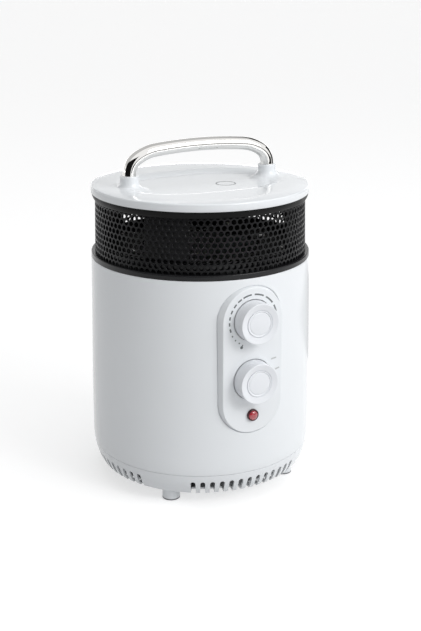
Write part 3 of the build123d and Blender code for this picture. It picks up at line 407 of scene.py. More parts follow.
def build_drum():
    zs = [31.08, 31.13, 31.28, 31.7, 33, 34, 36, 38, 40, 42, 46, 51, 56, 70, 84, 99, 111, 123, 140, 158, 175, 193, 203, 207.0]
    rs = [drum_r(z) for z in zs]
    rs[0], rs[1], rs[2] = 100.85, 101.05, 101.2
    rest = [(99.88, 207.45), (99.66, 207.85), (99.3, 208.05), (99.0, 208.1), (97.1, 208.1), (97.1, 207.6),
            (97.1, 190.0), (98.5, 120.0), (98.95, 70.0), (98.95, 42.0), (98.4, 37.0), (98.4, 31.2), (98.5, 31.08)]
    n = 256
    profile = list(zip(rs, zs)) + rest
    v, f = lathe_data(profile, n)
    j0, j1 = 192 - 18, 192 + 18
    k0, k1 = zs.index(56), zs.index(207.0)
    keep = []
    for i, g in enumerate(f):
        ring_i, col = divmod(i, n)
        if k0 <= ring_i < k1 and j0 <= col < j1:
            continue
        keep.append(g)
    # the window in front is filled with a patch that leaves the panel's seat open
    R0 = 101.0
    pts, tags = [], []

    def add(x, y, z):
        a = math.atan2(y, x) % (2 * math.pi)
        pts.append(Vector((a * R0, z)))

    step = 2 * math.pi / n
    for j in range(j0, j1 + 1):
        for z in (56.0, 207.0):
            pts.append(Vector((j * step * R0, z)))
    for k in range(k0 + 1, k1):
        for j in (j0, j1):
            pts.append(Vector((j * step * R0, zs[k])))
    seat = []
    for cx, sz, zc in OUTLINE:
        x, y, z = foot_of_wall(cx, sz, zc, 0.0, 0.62)
        seat.append((x, -shell_y(x, z), z))
    first = len(pts)
    for x, y, z in seat:
        add(x, y, z)
    m = len(seat)
    edges = [(first + i, first + (i + 1) % m) for i in range(m)]
    ring2 = []
    for cx, sz, zc in OUTLINE:
        x, y, z = foot_of_wall(cx, sz, zc, 0.0, 1.4)
        add(x, -shell_y(x, z), z)
    for j in range(j0 + 1, j1):
        for k in range(1, 44):
            z = 56 + (207.0 - 56) * k / 44
            a = j * step
            x = drum_r(z) * math.cos(a)
            # only where the panel and its rim are well clear
            zc = min(max(z, Z_LOW), Z_UP)
            if math.hypot(x, z - zc) > HALF + 4.6:
                pts.append(Vector((a * R0, z)))
    pv, _, pf, *_ = delaunay_2d_cdt(pts, edges, [], 0, 1e-5)
    o = len(v)
    patch_index = []
    for q in pv:
        a, z = q.x / R0, q.y
        r = drum_r(z)
        v.append((r * math.cos(a), r * math.sin(a), z))
    for g in pf:
        c = Vector((0, 0))
        for i in g:
            c += Vector(pv[i])
        c /= len(g)
        x, z = drum_r(c.y) * math.cos(c.x / R0), c.y
        zc = min(max(z, Z_LOW), Z_UP)
        # inside the seat's outline: leave open
        w = math.hypot(x, z - zc)
        ux, uz = (x / w, (z - zc) / w) if w > 1e-6 else (1, 0)
        fx, _, fz = foot_of_wall(ux if z > Z_UP or z < Z_LOW else math.copysign(1, x), uz if z > Z_UP or z < Z_LOW else 0.0, zc, 0.0, 0.62)
        if w < math.hypot(fx, fz - zc) - 0.01:
            continue
        keep.append([i + o for i in g])
    # the seat's side wall and its floor under the panel
    o = len(v)
    for depth, inset in ((0.0, 0.0), (0.12, -0.08), (1.7, -0.1), (1.7, -5.0)):
        for (cx, sz, zc), (x, y, z) in zip(OUTLINE, seat):
            x2, z2 = x + cx * inset, z + sz * inset
            v.append((x2, -(shell_y(x2, z2) - depth), z2))
    for k in range(3):
        for i in range(m):
            i2 = (i + 1) % m
            keep.append([o + k * m + i, o + k * m + i2, o + (k + 1) * m + i2, o + (k + 1) * m + i])
    # drum behind the panel, seen only through the openings round the knobs
    o = len(v)
    cols, rows = 24, 48
    for k in range(rows + 1):
        z = 62 + (206 - 62) * k / rows
        for j in range(cols + 1):
            a = math.radians(270 - 19 + 38 * j / cols)
            r = drum_r(z) - 1.2
            v.append((r * math.cos(a), r * math.sin(a), z))
    for k in range(rows):
        for j in range(cols):
            a = o + k * (cols + 1) + j
            keep.append([a, a + 1, a + cols + 2, a + cols + 1])
    me = bpy.data.meshes.new("body_shell_skin")
    me.from_pydata([(q[0] * MM, q[1] * MM, q[2] * MM) for q in v], [], keep)
    bm = bmesh.new()
    bm.from_mesh(me)
    bmesh.ops.remove_doubles(bm, verts=bm.verts, dist=4e-6)
    bmesh.ops.dissolve_degenerate(bm, dist=1e-7, edges=bm.edges)
    bmesh.ops.recalc_face_normals(bm, faces=bm.faces)
    bm.to_mesh(me)
    bm.free()
    for q in me.polygons:
        q.use_smooth = True
    me.set_sharp_from_angle(angle=math.radians(38))
    normals = [(0.0, 0.0, 0.0)] * len(me.loops)
    for q in me.polygons:
        on = True
        for i in q.vertices:
            co = me.vertices[i].co / MM
            if not (32.5 <= co.z <= 207.01) or abs(math.hypot(co.x, co.y) - drum_r(co.z)) > 0.03:
                on = False
                break
        if on:
            for li in q.loop_indices:
                co = me.vertices[me.loops[li].vertex_index].co / MM
                normals[li] = tuple(drum_normal(co.x, co.y, co.z))
    me.normals_split_custom_set(normals)
    me.materials.append(white)
    ob = bpy.data.objects.new("body_shell_skin", me)
    scene.collection.objects.link(ob)
    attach(ob, "housing")
    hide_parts(*sorted(n for n in frame["nodes"] if n.startswith("body_shell")))


build_drum()

# ------------------------------------------------------------------ base cover with its slots

bowl_knots = [(11.9, 94.1), (14.0, 95.5), (16.5, 96.9), (19.0, 98.0), (21.4, 98.9), (23.9, 99.7), (26.3, 100.3), (28.8, 100.8),
              (30.95, 101.2)]


def bowl_r(z):
    return curve_through(bowl_knots, z)


SLOT_HALF, ARCH_Z, CELL_TOP = 2.15, 22.55, 27.0
# rows below the arch, down the wall, round the bottom edge and in along the floor
low_rows = [(bowl_r(z), z) for z in (21.0, 19.0, 17.0, 15.2, 13.6, 12.5)]
low_rows += [(93.95, 11.78), (93.55, 11.58), (93.0, 11.5), (91.0, 11.5), (88.5, 11.5), (86.0, 11.5)]
top_rows = [30.95, 30.9, 30.75, 30.3, 29.0, CELL_TOP]
top_r = [100.85, 101.0, 101.1, bowl_r(30.3), bowl_r(29.0), bowl_r(CELL_TOP)]
side_z = [CELL_TOP, 25.5, 24.0, ARCH_Z]
HALF_CELL = math.radians(2.5)
verts, faces = [], []
index = {}


def vert(theta, r, z):
    key = (round(theta * 1e5) % round(2 * math.pi * 1e5), round(r * 1e3), round(z * 1e3))
    if key not in index:
        index[key] = len(verts)
        verts.append((r * math.cos(theta), r * math.sin(theta), z))
    return index[key]


def quad(*ids):
    f = []
    for i in ids:
        if i not in f:
            f.append(i)
    if len(f) > 2:
        faces.append(f)


for cell in range(72):
    mid = math.radians(5.0 * cell)
    away = ((5.0 * cell + 45) % 90) - 45
    has_slot = abs(away) <= 30.5
    cols = [mid - HALF_CELL + HALF_CELL * j / 3 for j in range(7)]
    # plain band above the slots
    for (z0, r0), (z1, r1) in zip(zip(top_rows, top_r), zip(top_rows[1:], top_r[1:])):
        for c0, c1 in zip(cols, cols[1:]):
            quad(vert(c0, r0, z0), vert(c1, r0, z0), vert(c1, r1, z1), vert(c0, r1, z1))
    if not has_slot:
        for z0, z1 in zip(side_z, side_z[1:]):
            for c0, c1 in zip(cols, cols[1:]):
                quad(vert(c0, bowl_r(z0), z0), vert(c1, bowl_r(z0), z0), vert(c1, bowl_r(z1), z1), vert(c0, bowl_r(z1), z1))
        rows = [(bowl_r(ARCH_Z), ARCH_Z)] + low_rows + [(60.0, 11.5), (25.0, 11.5), (0.0, 11.5)]
        for (r0, z0), (r1, z1) in zip(rows, rows[1:]):
            for c0, c1 in zip(cols, cols[1:]):
                quad(vert(c0, r0, z0), vert(c1, r0, z0), vert(c1, r1, z1) if r1 else vert(0, 0, z1), vert(c0, r1, z1) if r1 else vert(0, 0, z1))
        continue
    # arch: rays from the half circle to the cell's border
    border = [(mid - HALF_CELL, z) for z in reversed(side_z)] + [(c, CELL_TOP) for c in cols[1:-1]] + [(mid + HALF_CELL, z) for z in side_z]
    m = len(border) - 1
    rays = []
    for j, (tb, zb) in enumerate(border):
        phi = math.pi * j / m
        za = ARCH_Z + SLOT_HALF * math.sin(phi)
        ta = mid - math.asin(SLOT_HALF * math.cos(phi) / bowl_r(za))
        ray = []
        for t in (0.0, 0.3, 0.65, 1.0):
            th, z = ta + (tb - ta) * t, za + (zb - za) * t
            ray.append(vert(th, bowl_r(z), z))
        rays.append(ray)
    for a, b2 in zip(rays, rays[1:]):
        for k in range(3):
            quad(a[k], b2[k], b2[k + 1], a[k + 1])
    # ribs beside the slot
    rows = [(bowl_r(ARCH_Z), ARCH_Z)] + low_rows
    for side in (-1, 1):
        line = []
        for r, z in rows:
            te = mid + side * math.asin(SLOT_HALF / r)
            tb = mid + side * HALF_CELL
            line.append([vert(te + (tb - te) * t, r, z) for t in (0.0, 0.3, 0.65, 1.0)])
        for a, b2 in zip(line, line[1:]):
            for k in range(3):
                quad(a[k], a[k + 1], b2[k + 1], b2[k])
    # floor inside the slots' ends
    r = 86.0
    te = math.asin(SLOT_HALF / r)
    ts = [mid - HALF_CELL + (HALF_CELL - te) * (1 - t) for t in (1.0, 0.65, 0.3, 0.0)]
    ts += [mid, mid + te] + [mid + te + (HALF_CELL - te) * t for t in (0.3, 0.65, 1.0)]
    rows = [86.0, 60.0, 25.0, 0.0]
    for r0, r1 in zip(rows, rows[1:]):
        for c0, c1 in zip(ts, ts[1:]):
            quad(vert(c0, r0, 11.5), vert(c1, r0, 11.5), vert(c1, r1, 11.5) if r1 else vert(0, 0, 11.5), vert(c0, r1, 11.5) if r1 else vert(0, 0, 11.5))


def finish_base():
    me = bpy.data.meshes.new("base_cover_skin")
    me.from_pydata([(v[0] * MM, v[1] * MM, v[2] * MM) for v in verts], [], faces)
    bm = bmesh.new()
    bm.from_mesh(me)
    bmesh.ops.remove_doubles(bm, verts=bm.verts, dist=1e-5)
    bmesh.ops.recalc_face_normals(bm, faces=bm.faces)
    # the open skin's normals have to point out, away from the bowl's inside
    f = max(bm.faces, key=lambda g: g.calc_center_median().x)
    if f.normal.x < 0:
        bmesh.ops.reverse_faces(bm, faces=bm.faces)
    bm.to_mesh(me)
    bm.free()
    ob = bpy.data.objects.new("base_cover_skin", me)
    scene.collection.objects.link(ob)
    s = ob.modifiers.new("wall", "SOLIDIFY")
    s.thickness = 1.8 * MM
    s.offset = -1.0
    s.use_even_offset = True
    s.use_quality_normals = True
    bv = ob.modifiers.new("edges", "BEVEL")
    bv.width = 0.32 * MM
    bv.segments = 2
    bv.limit_method = "ANGLE"
    bv.angle_limit = math.radians(50)
    dg = bpy.context.evaluated_depsgraph_get()
    done = bpy.data.meshes.new_from_object(ob.evaluated_get(dg))
    bpy.data.objects.remove(ob)
    # lip behind the seam and four foot stubs
    lip = lathe_data(fillet_path([(95.4, 27.6), (98.0, 27.6), (98.0, 36.0, 0.4), (95.4, 36.0, 0.4)], closed=True), 192)
    parts = [lip]
    for k in range(4):
        a = math.radians(45 + 90 * k)
        stub = fillet_path([(0.0, PAD + 3.2), (4.1, PAD + 3.2), (4.1, PAD, 0.25), (8.0, PAD, 0.35), (8.0, 13.2), (0.0, 13.2)])
        parts.append(lathe_data(stub, 48, closed=False, centre=(82 * math.cos(a), 82 * math.sin(a), 0)))
    v2, f2 = join_data(*parts)
    extra = bpy.data.meshes.new("extra")
    extra.from_pydata([(v[0] * MM, v[1] * MM, v[2] * MM) for v in v2], [], f2)
    bm = bmesh.new()
    bm.from_mesh(extra)
    bmesh.ops.recalc_face_normals(bm, faces=bm.faces)
    bm.from_mesh(done)
    bm.to_mesh(done)
    bm.free()
    for p in done.polygons:
        p.use_smooth = True
    done.set_sharp_from_angle(angle=math.radians(42))
    done.materials.clear()
    done.materials.append(white)
    ob = bpy.data.objects.new("base_cover_skin", done)
    scene.collection.objects.link(ob)
    w = ob.modifiers.new("weighted", "WEIGHTED_NORMAL")
    w.keep_sharp = True
    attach(ob, "housing")
    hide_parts("base_cover")
    return ob


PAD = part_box("foot_pads")[1][2] / MM
finish_base()

# ------------------------------------------------------------------ control panel

R_EDGE = 0.9


def build_panel():
    pv, pf, rings = [], [], []

    def ring(fn):
        ids = []
        for cx, sz, zc in OUTLINE:
            x, y, z = fn(cx, sz, zc)
            pv.append((x, -y, z))
            ids.append(len(pv) - 1)
        rings.append(ids)

    def at(w, y):
        return lambda cx, sz, zc: (cx * w, y, zc + sz * w)

    edge_w = HALF - 0.65 - R_EDGE * 0.3
    ring(at(HALF - 1.3, PANEL_Y))
    turn = math.radians(74)
    for j in range(0, 7):
        a = turn * j / 6
        ring(at(edge_w + R_EDGE * math.sin(a), PANEL_Y - R_EDGE * (1 - math.cos(a))))
    w0, y0 = edge_w + R_EDGE * math.sin(turn), PANEL_Y - R_EDGE * (1 - math.cos(turn))

    def lower_wall(share):
        def fn(cx, sz, zc):
            x1, y1, z1 = foot_of_wall(cx, sz, zc, 1.1)
            return (cx * w0 + (x1 - cx * w0) * share, y0 + (y1 - y0) * share, (zc + sz * w0) + (z1 - zc - sz * w0) * share)
        return fn

    for share in (0.2, 0.8, 1.0):
        ring(lower_wall(share))
    for a, b2 in zip(rings, rings[1:]):
        n = len(a)
        for j in range(n):
            k = (j + 1) % n
            pf.append([a[j], a[k], b2[k], b2[j]])
    # openings round the knobs and the lamp, each with a small rounded edge
    holes = [(0.0, KNOBS[0][1], KNOB_HOLE, 96), (0.0, KNOBS[1][1], KNOB_HOLE, 96), (0.0, LAMP_Z, 5.2, 40)]
    loops = []
    for hx, hz, hr, n in holes:
        hole_rings = []
        for dr, dy in ((0.30, 0.0), (0.12, 0.06), (0.03, 0.16), (0.0, 0.3), (0.0, None)):
            ids = []
            for j in range(n):
                a = 2 * math.pi * j / n
                x, z = hx + (hr + dr) * math.cos(a), hz + (hr + dr) * math.sin(a)
                y = PANEL_Y - dy if dy is not None else min(shell_y(x, z) - 0.9, PANEL_Y - 0.9)
                pv.append((x, -y, z))
                ids.append(len(pv) - 1)
            hole_rings.append(ids)
        loops.append(hole_rings[0])
        for a, b2 in zip(hole_rings, hole_rings[1:]):
            for j in range(n):
                k = (j + 1) % n
                pf.append([a[k], a[j], b2[j], b2[k]])
    # flat face between the outline and the openings
    pts, edges, ids = [], [], []
    for loop in [rings[0]] + loops:
        o = len(pts)
        for i in loop:
            pts.append(Vector((pv[i][0], pv[i][2])))
            ids.append(i)
        edges += [(o + j, o + (j + 1) % len(loop)) for j in range(len(loop))]
    qv, _, qf, orig, *_ = delaunay_2d_cdt(pts, edges, [], 0, 1e-6)
    for g in qf:
        cx = sum(qv[i].x for i in g) / len(g)
        cz = sum(qv[i].y for i in g) / len(g)
        zc = min(max(cz, Z_LOW), Z_UP)
        if math.hypot(cx, cz - zc) > HALF - 1.3:
            continue
        if any(math.hypot(cx - hx, cz - hz) < hr + 0.29 for hx, hz, hr, _ in holes):
            continue
        pf.append([ids[orig[i][0]] for i in g])
    new_piece("control_panel_plate", pv, pf, body="housing", replaces=("control_panel",), slot="white_casing", material=white, sharp=50)


build_panel()

# printed marks round the dials: thin raised ink

ink_y = PANEL_Y + 0.04


def arc_mark(r0, r1, a0, a1, zc, n=8):
    """A dash from angle a0 to a1, degrees clockwise from the top."""
    v, f = [], []
    for j in range(n + 1):
        a = math.radians(a0 + (a1 - a0) * j / n)
        for y in (PANEL_Y - 0.05, ink_y):
            for r in (r0, r1):
                v.append((r * math.sin(a), -y, zc + r * math.cos(a)))
    for j in range(n):
        o, q = 4 * j, 4 * j + 4
        f += [[o, o + 1, q + 1, q], [o + 2, q + 2, q + 3, o + 3], [o, q, q + 2, o + 2], [o + 1, o + 3, q + 3, q + 1]]
    f += [[0, 2, 3, 1], [4 * n, 4 * n + 1, 4 * n + 3, 4 * n + 2]]
    return v, f


def dot_mark(x, z, r, n=20):
    return lathe_data([(0, -(PANEL_Y - 0.05)), (r, -(PANEL_Y - 0.05)), (r, -ink_y), (0, -ink_y)], n, closed=False, axis="Y", centre=(x, 0, z))


marks = []
for a0, a1 in ((-110.5, -102.6), (-96.0, -88.6), (-82.6, -75.4), (-68.6, -60.8), (-54.0, -45.2), (-39.8, -29.4),
               (-25.0, -4.2), (3.0, 25.8), (32.2, 54.5), (61.5, 84.5), (91.5, 115.0), (122.0, 146.0)):
    marks.append(arc_mark(22.0, 23.4, a0, a1, 171.8))
for a in (-120.8, -133.0, -145.0):
    marks.append(dot_mark(23.1 * math.sin(math.radians(a)), 171.8 + 23.1 * math.cos(math.radians(a)), 0.72))
sx, sz2 = 25.6 * math.sin(math.radians(-154.5)), 171.8 + 25.6 * math.cos(math.radians(-154.5))
marks.append(dot_mark(sx, sz2, 1.35))
marks.append(arc_mark(22.9, 25.0, -155.6, -153.4, 171.8, 2))
new_piece("thermostat_marks", *join_data(*marks), body="housing", slot="black_plastic", material=ink, weighted=False)


def stroke(p0, p1, w, zc):
    """A short printed line between two dial points (degrees, radius)."""
    ends = [(r * math.sin(math.radians(a)), zc + r * math.cos(math.radians(a))) for a, r in (p0, p1)]
    d = Vector((ends[1][0] - ends[0][0], ends[1][1] - ends[0][1])).normalized()
    v, f = [], []
    for x, z in ends:
        for y in (PANEL_Y - 0.05, ink_y):
            for side in (-w / 2, w / 2):
                v.append((x - d.y * side, -y, z + d.x * side))
    f = [[0, 1, 5, 4], [2, 6, 7, 3], [0, 4, 6, 2], [1, 3, 7, 5], [0, 2, 3, 1], [4, 5, 7, 6]]
    return v, f


marks = [stroke((48.8, 23.9), (54.4, 28.3), 1.3, 118.1), stroke((75.4, 22.8), (75.4, 27.2), 1.3, 118.1)]
new_piece("selector_marks", *join_data(*marks), body="housing", slot="black_plastic", material=ink_pale, weighted=False)

# ------------------------------------------------------------------ knobs

for body, zc in KNOBS:
    grip = fillet_path([
        (5.5, -104.0), (5.5, -111.6, 0.5), (15.9, -111.6, 0.6), (16.2, -102.0, 0.2), (18.0, -102.0, 0.3),
        (17.9, -115.95, 0.75), (16.9, -115.9, 0.6), (12.15, -114.55, 0.25), (12.0, -113.9), (0.0, -113.9),
    ], support=0.35)
    grip += [(0.0, -104.0)]
    new_piece(body + "_grip", *lathe_data(grip, 128, closed=True, axis="Y", centre=(0, 0, zc)), body=body,
              replaces=(body,), slot="knob_white", material=knob_white)
    cap = fillet_path([(0.0, -113.6), (11.62, -113.6), (11.6, -114.82, 0.25), (10.85, -114.82, 0.25), (10.3, -114.25, 0.2), (9.75, -114.25, 0.2), (9.3, -114.62, 0.6)],
                      support=0.15)
    cap += [(7.5, -114.7), (6.0, -114.77), (4.5, -114.87), (3.0, -114.94), (1.5, -114.985), (0.0, -115.0)]
    new_piece(body + "_disc", *lathe_data(cap, 128, closed=True, axis="Y", centre=(0, 0, zc)), body=body,
              replaces=(body + "_cap",), slot="knob_white", material=knob_white)

# ------------------------------------------------------------------ pilot lamp

rim = fillet_path([(4.35, -98.0), (4.35, -104.5, 0.3), (4.62, -104.92, 0.2), (5.15, -104.7, 0.5), (5.35, -102.35, 0.1), (4.95, -102.1), (4.95, -98.0)],
                  closed=True, support=0.1)
new_piece("lamp_rim_ring", *lathe_data(rim, 64, axis="Y", centre=(0, 0, LAMP_Z)), body="housing", replaces=("lamp_bezel",), slot="lamp_rim",
          material=lamp_rim)
dome = [(0.0, -103.0), (4.28, -103.0), (4.28, -104.1)]
for j in range(1, 15):
    a = math.radians(90 * j / 14)
    dome.append((4.28 * math.cos(a), -104.1 - 2.35 * math.sin(a)))
dome[-1] = (0.0, -106.45)
new_piece("lamp_dome", *lathe_data(dome, 64, closed=True, axis="Y", centre=(0, 0, LAMP_Z)), body="housing", replaces=("lamp_lens",), slot="lamp_red",
          material=lens)
core = [(0.0, -102.2), (4.2, -102.2), (4.2, -102.7), (3.4, -102.85), (1.6, -102.9), (0.0, -102.9)]
new_piece("lamp_core", *lathe_data(core, 40, closed=True, axis="Y", centre=(0, 0, LAMP_Z)), body="housing", slot="lamp_glass", material=lamp_core)

# ------------------------------------------------------------------ rings of the outlet

low = fillet_path([(99.8, 208.15, 0.25), (99.8, 212.9, 0.95), (93.75, 212.9, 0.35), (93.6, 222.5, 0.6), (91.7, 222.5, 0.5), (91.7, 212.9), (74.0, 212.9, 0.3),
                   (74.0, 210.4, 0.3), (94.0, 210.4), (94.0, 203.5, 0.3), (96.9, 203.5, 0.3), (96.9, 208.15)], closed=True, support=0.3)
new_piece("lower_ring_skin", *lathe_data(low, 256), body="housing", replaces=("lower_ring",), slot="black_plastic", material=ring_low)
up = fillet_path([(95.5, 260.75, 0.2), (96.1, 260.75, 0.3), (97.2, 262.3, 4.0), (98.1, 264.7, 6.0), (98.45, 266.88, 0.2), (75.2, 266.88, 0.2), (75.2, 264.25, 0.2),
                  (95.5, 264.25)], closed=True, support=0.2)
# the ring under the lid takes the low-reflection shaded copy of the black plastic: painted shade
new_piece("upper_ring_skin", *lathe_data(up, 256), body="housing", replaces=("upper_ring",), slot="black_plastic", material=ring_black)

# ------------------------------------------------------------------ perforated grille

PITCH, ROW, HOLE = 360.0 / 108, 4.84, 2.15
Z_CUT_LOW, Z_CUT_HIGH = 212.92, 264.18


def grille_r(z):
    return 96.3 - (z - 213.0) * 0.02


def build_grille():
    SEG = 6
    u_scale = math.radians(1.0) * 95.8
    gv, gf, idx, sunk = [], [], {}, set()

    def gvert(u, v):
        key = (round((u % 360.0) * 1000) % 360000, round(v * 1000))
        if key not in idx:
            idx[key] = len(gv)
            gv.append((u, v))
        return idx[key]

    border = []
    for j in range(SEG):
        border.append((0.5, -0.5 + j / SEG))
    for j in range(SEG):
        border.append((0.5 - j / SEG, 0.5))
    for j in range(SEG):
        border.append((-0.5, 0.5 - j / SEG))
    for j in range(SEG):
        border.append((-0.5 + j / SEG, -0.5))
    for k in range(11):
        v0 = 213.4 + ROW * k
        start = -0.51 + (0.0 if k % 2 == 0 else PITCH / 2)
        for m in range(108):
            u0 = start + m * PITCH
            outer_ids, edge_ids, inner_ids = [], [], []
            for bu, bv in border:
                du, dv = bu * PITCH, bv * ROW
                outer_ids.append(gvert(u0 + du, v0 + dv))
                ang = math.atan2(dv, du * u_scale)
                rim = HOLE + 0.2
                edge_ids.append(gvert(u0 + rim * math.cos(ang) / u_scale, v0 + rim * math.sin(ang)))
                inner_ids.append(gvert(u0 + (HOLE - 0.02) * math.cos(ang) / u_scale, v0 + (HOLE - 0.02) * math.sin(ang)))
                sunk.add(inner_ids[-1])
            c = len(border)
            for j in range(c):
                n2 = (j + 1) % c
                gf.append((outer_ids[j], outer_ids[n2], edge_ids[n2], edge_ids[j]))
                gf.append((edge_ids[j], edge_ids[n2], inner_ids[n2], inner_ids[j]))
    # flat sheet cut to height, then rolled
    # place each vertex on a helper plane: x = angle, y = height
    me = bpy.data.meshes.new("sheet")
    bm = bmesh.new()
    bverts = [bm.verts.new((u % 360.0, v, 0.24 if i in sunk else 0.0)) for i, (u, v) in enumerate(gv)]
    seam = []
    for f in gf:
        us = [bverts[i].co.x for i in f]
        if max(us) - min(us) > 180:
            seam.append(f)
            continue
        bm.faces.new([bverts[i] for i in f])
    for f in seam:
        ids = []
        for i in f:
            co = bverts[i].co
            if co.x < 180:
                ids.append(bm.verts.new((co.x + 360.0, co.y, co.z)))
            else:
                ids.append(bverts[i])
        bm.faces.new(ids)
    bmesh.ops.bisect_plane(bm, geom=bm.verts[:] + bm.edges[:] + bm.faces[:], plane_co=(0, Z_CUT_LOW, 0), plane_no=(0, 1, 0), clear_inner=True)
    bmesh.ops.bisect_plane(bm, geom=bm.verts[:] + bm.edges[:] + bm.faces[:], plane_co=(0, Z_CUT_HIGH, 0), plane_no=(0, 1, 0), clear_outer=True)
    for v in bm.verts:
        az, z = math.radians(v.co.x), v.co.y
        r = grille_r(z) - v.co.z
        v.co = Vector((r * math.sin(az) * MM, -r * math.cos(az) * MM, z * MM))
    bmesh.ops.remove_doubles(bm, verts=bm.verts, dist=2e-6)
    loose = [v for v in bm.verts if not v.link_faces]
    bmesh.ops.delete(bm, geom=loose, context="VERTS")
    for f in bm.faces:
        c = f.calc_center_median()
        if f.normal.dot(Vector((c.x, c.y, 0))) < 0:
            f.normal_flip()
    # second layer 0.9 mm inside, and the walls of the holes
    layer = list(bm.faces)
    border_edges = [e for e in bm.edges if len(e.link_faces) == 1]
    inner = {}
    for v in list(bm.verts):
        d = Vector((v.co.x, v.co.y, 0)).normalized()
        inner[v] = bm.verts.new(v.co - d * 0.9 * MM)
    for f in layer:
        bm.faces.new([inner[v] for v in reversed(f.verts)])
    for e in border_edges:
        f = e.link_faces[0]
        loop = next(lp for lp in f.loops if lp.edge == e)
        a, b3 = loop.vert, loop.link_loop_next.vert
        bm.faces.new([b3, a, inner[a], inner[b3]])
    bm.normal_update()
    bm.to_mesh(me)
    bm.free()
    for p in me.polygons:
        p.use_smooth = True
    me.set_sharp_from_angle(angle=math.radians(30))
    me.materials.append(black_steel)
    ob = bpy.data.objects.new("outlet_grille_sheet", me)
    scene.collection.objects.link(ob)
    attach(ob, "housing")
    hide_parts("outlet_grille")
    return ob


build_grille()

# ------------------------------------------------------------------ lid

BOSS_X = 69.2
flare_knots = [(8.1, 284.6), (8.2, 281.6), (8.45, 279.2), (8.95, 277.3), (9.8, 275.8), (11.0, 274.7), (12.6, 273.7), (14.6, 272.9), (17.0, 272.3), (20.0, 272.0)]


def smooth(t):
    t = min(1.0, max(0.0, t))
    return t * t * t * (t * (6 * t - 15) + 10)


def pocket_drop(t):
    """Depth of the pocket at a distance t inside its outer edge: a rolled edge, a short slope, a rounded foot."""
    th = math.radians(24)
    r1, run, r2 = 30.0, 0.4, 5.0
    t1 = r1 * math.sin(th)
    d1 = r1 * (1 - math.cos(th))
    t2 = t1 + run
    d2 = d1 + run * math.tan(th)
    t3 = t2 + r2 * math.sin(th)
    if t <= 0:
        return 0.0
    if t < t1:
        return r1 - math.sqrt(r1 * r1 - t * t)
    if t < t2:
        return d1 + (t - t1) * math.tan(th)
    if t < t3:
        u = t3 - t
        return d2 + r2 * (1 - math.cos(th)) - (r2 - math.sqrt(r2 * r2 - u * u))
    return d2 + r2 * (1 - math.cos(th))


def lid_surface(x, y):
    """Height of the lid's top at a point: a gently domed top, the pocket and the handle's flared bosses."""
    r = math.hypot(x, y)
    z = 275.0 - 1.0 * max(0.0, (r - 82.0) / 14.5) ** 2
    a, b4, n = 72.0, 50.5, 2.7
    s = ((abs(x) / a) ** n + (abs(y) / b4) ** n) ** (1 / n)
    dist = (s - 1.0) * r / s if s > 1e-6 else -50.0
    z -= pocket_drop(5.7 - dist)
    for side in (1, -1):
        dx = (x - side * BOSS_X) * side
        d = math.hypot(dx, y)
        if 8.1 < d < 20.0:
            f = curve_through(flare_knots, d)
            k = 0.9
            w = smooth((20.0 - d) / 8.0)
            f = f + (1 - w) * (z - f)
            m2 = max(z, f)
            z = m2 + k * math.log(math.exp((z - m2) / k) + math.exp((f - m2) / k)) * w * smooth((d - 8.1) / 6.0)
        elif d <= 8.1:
            z = flare_knots[0][1]
    return z


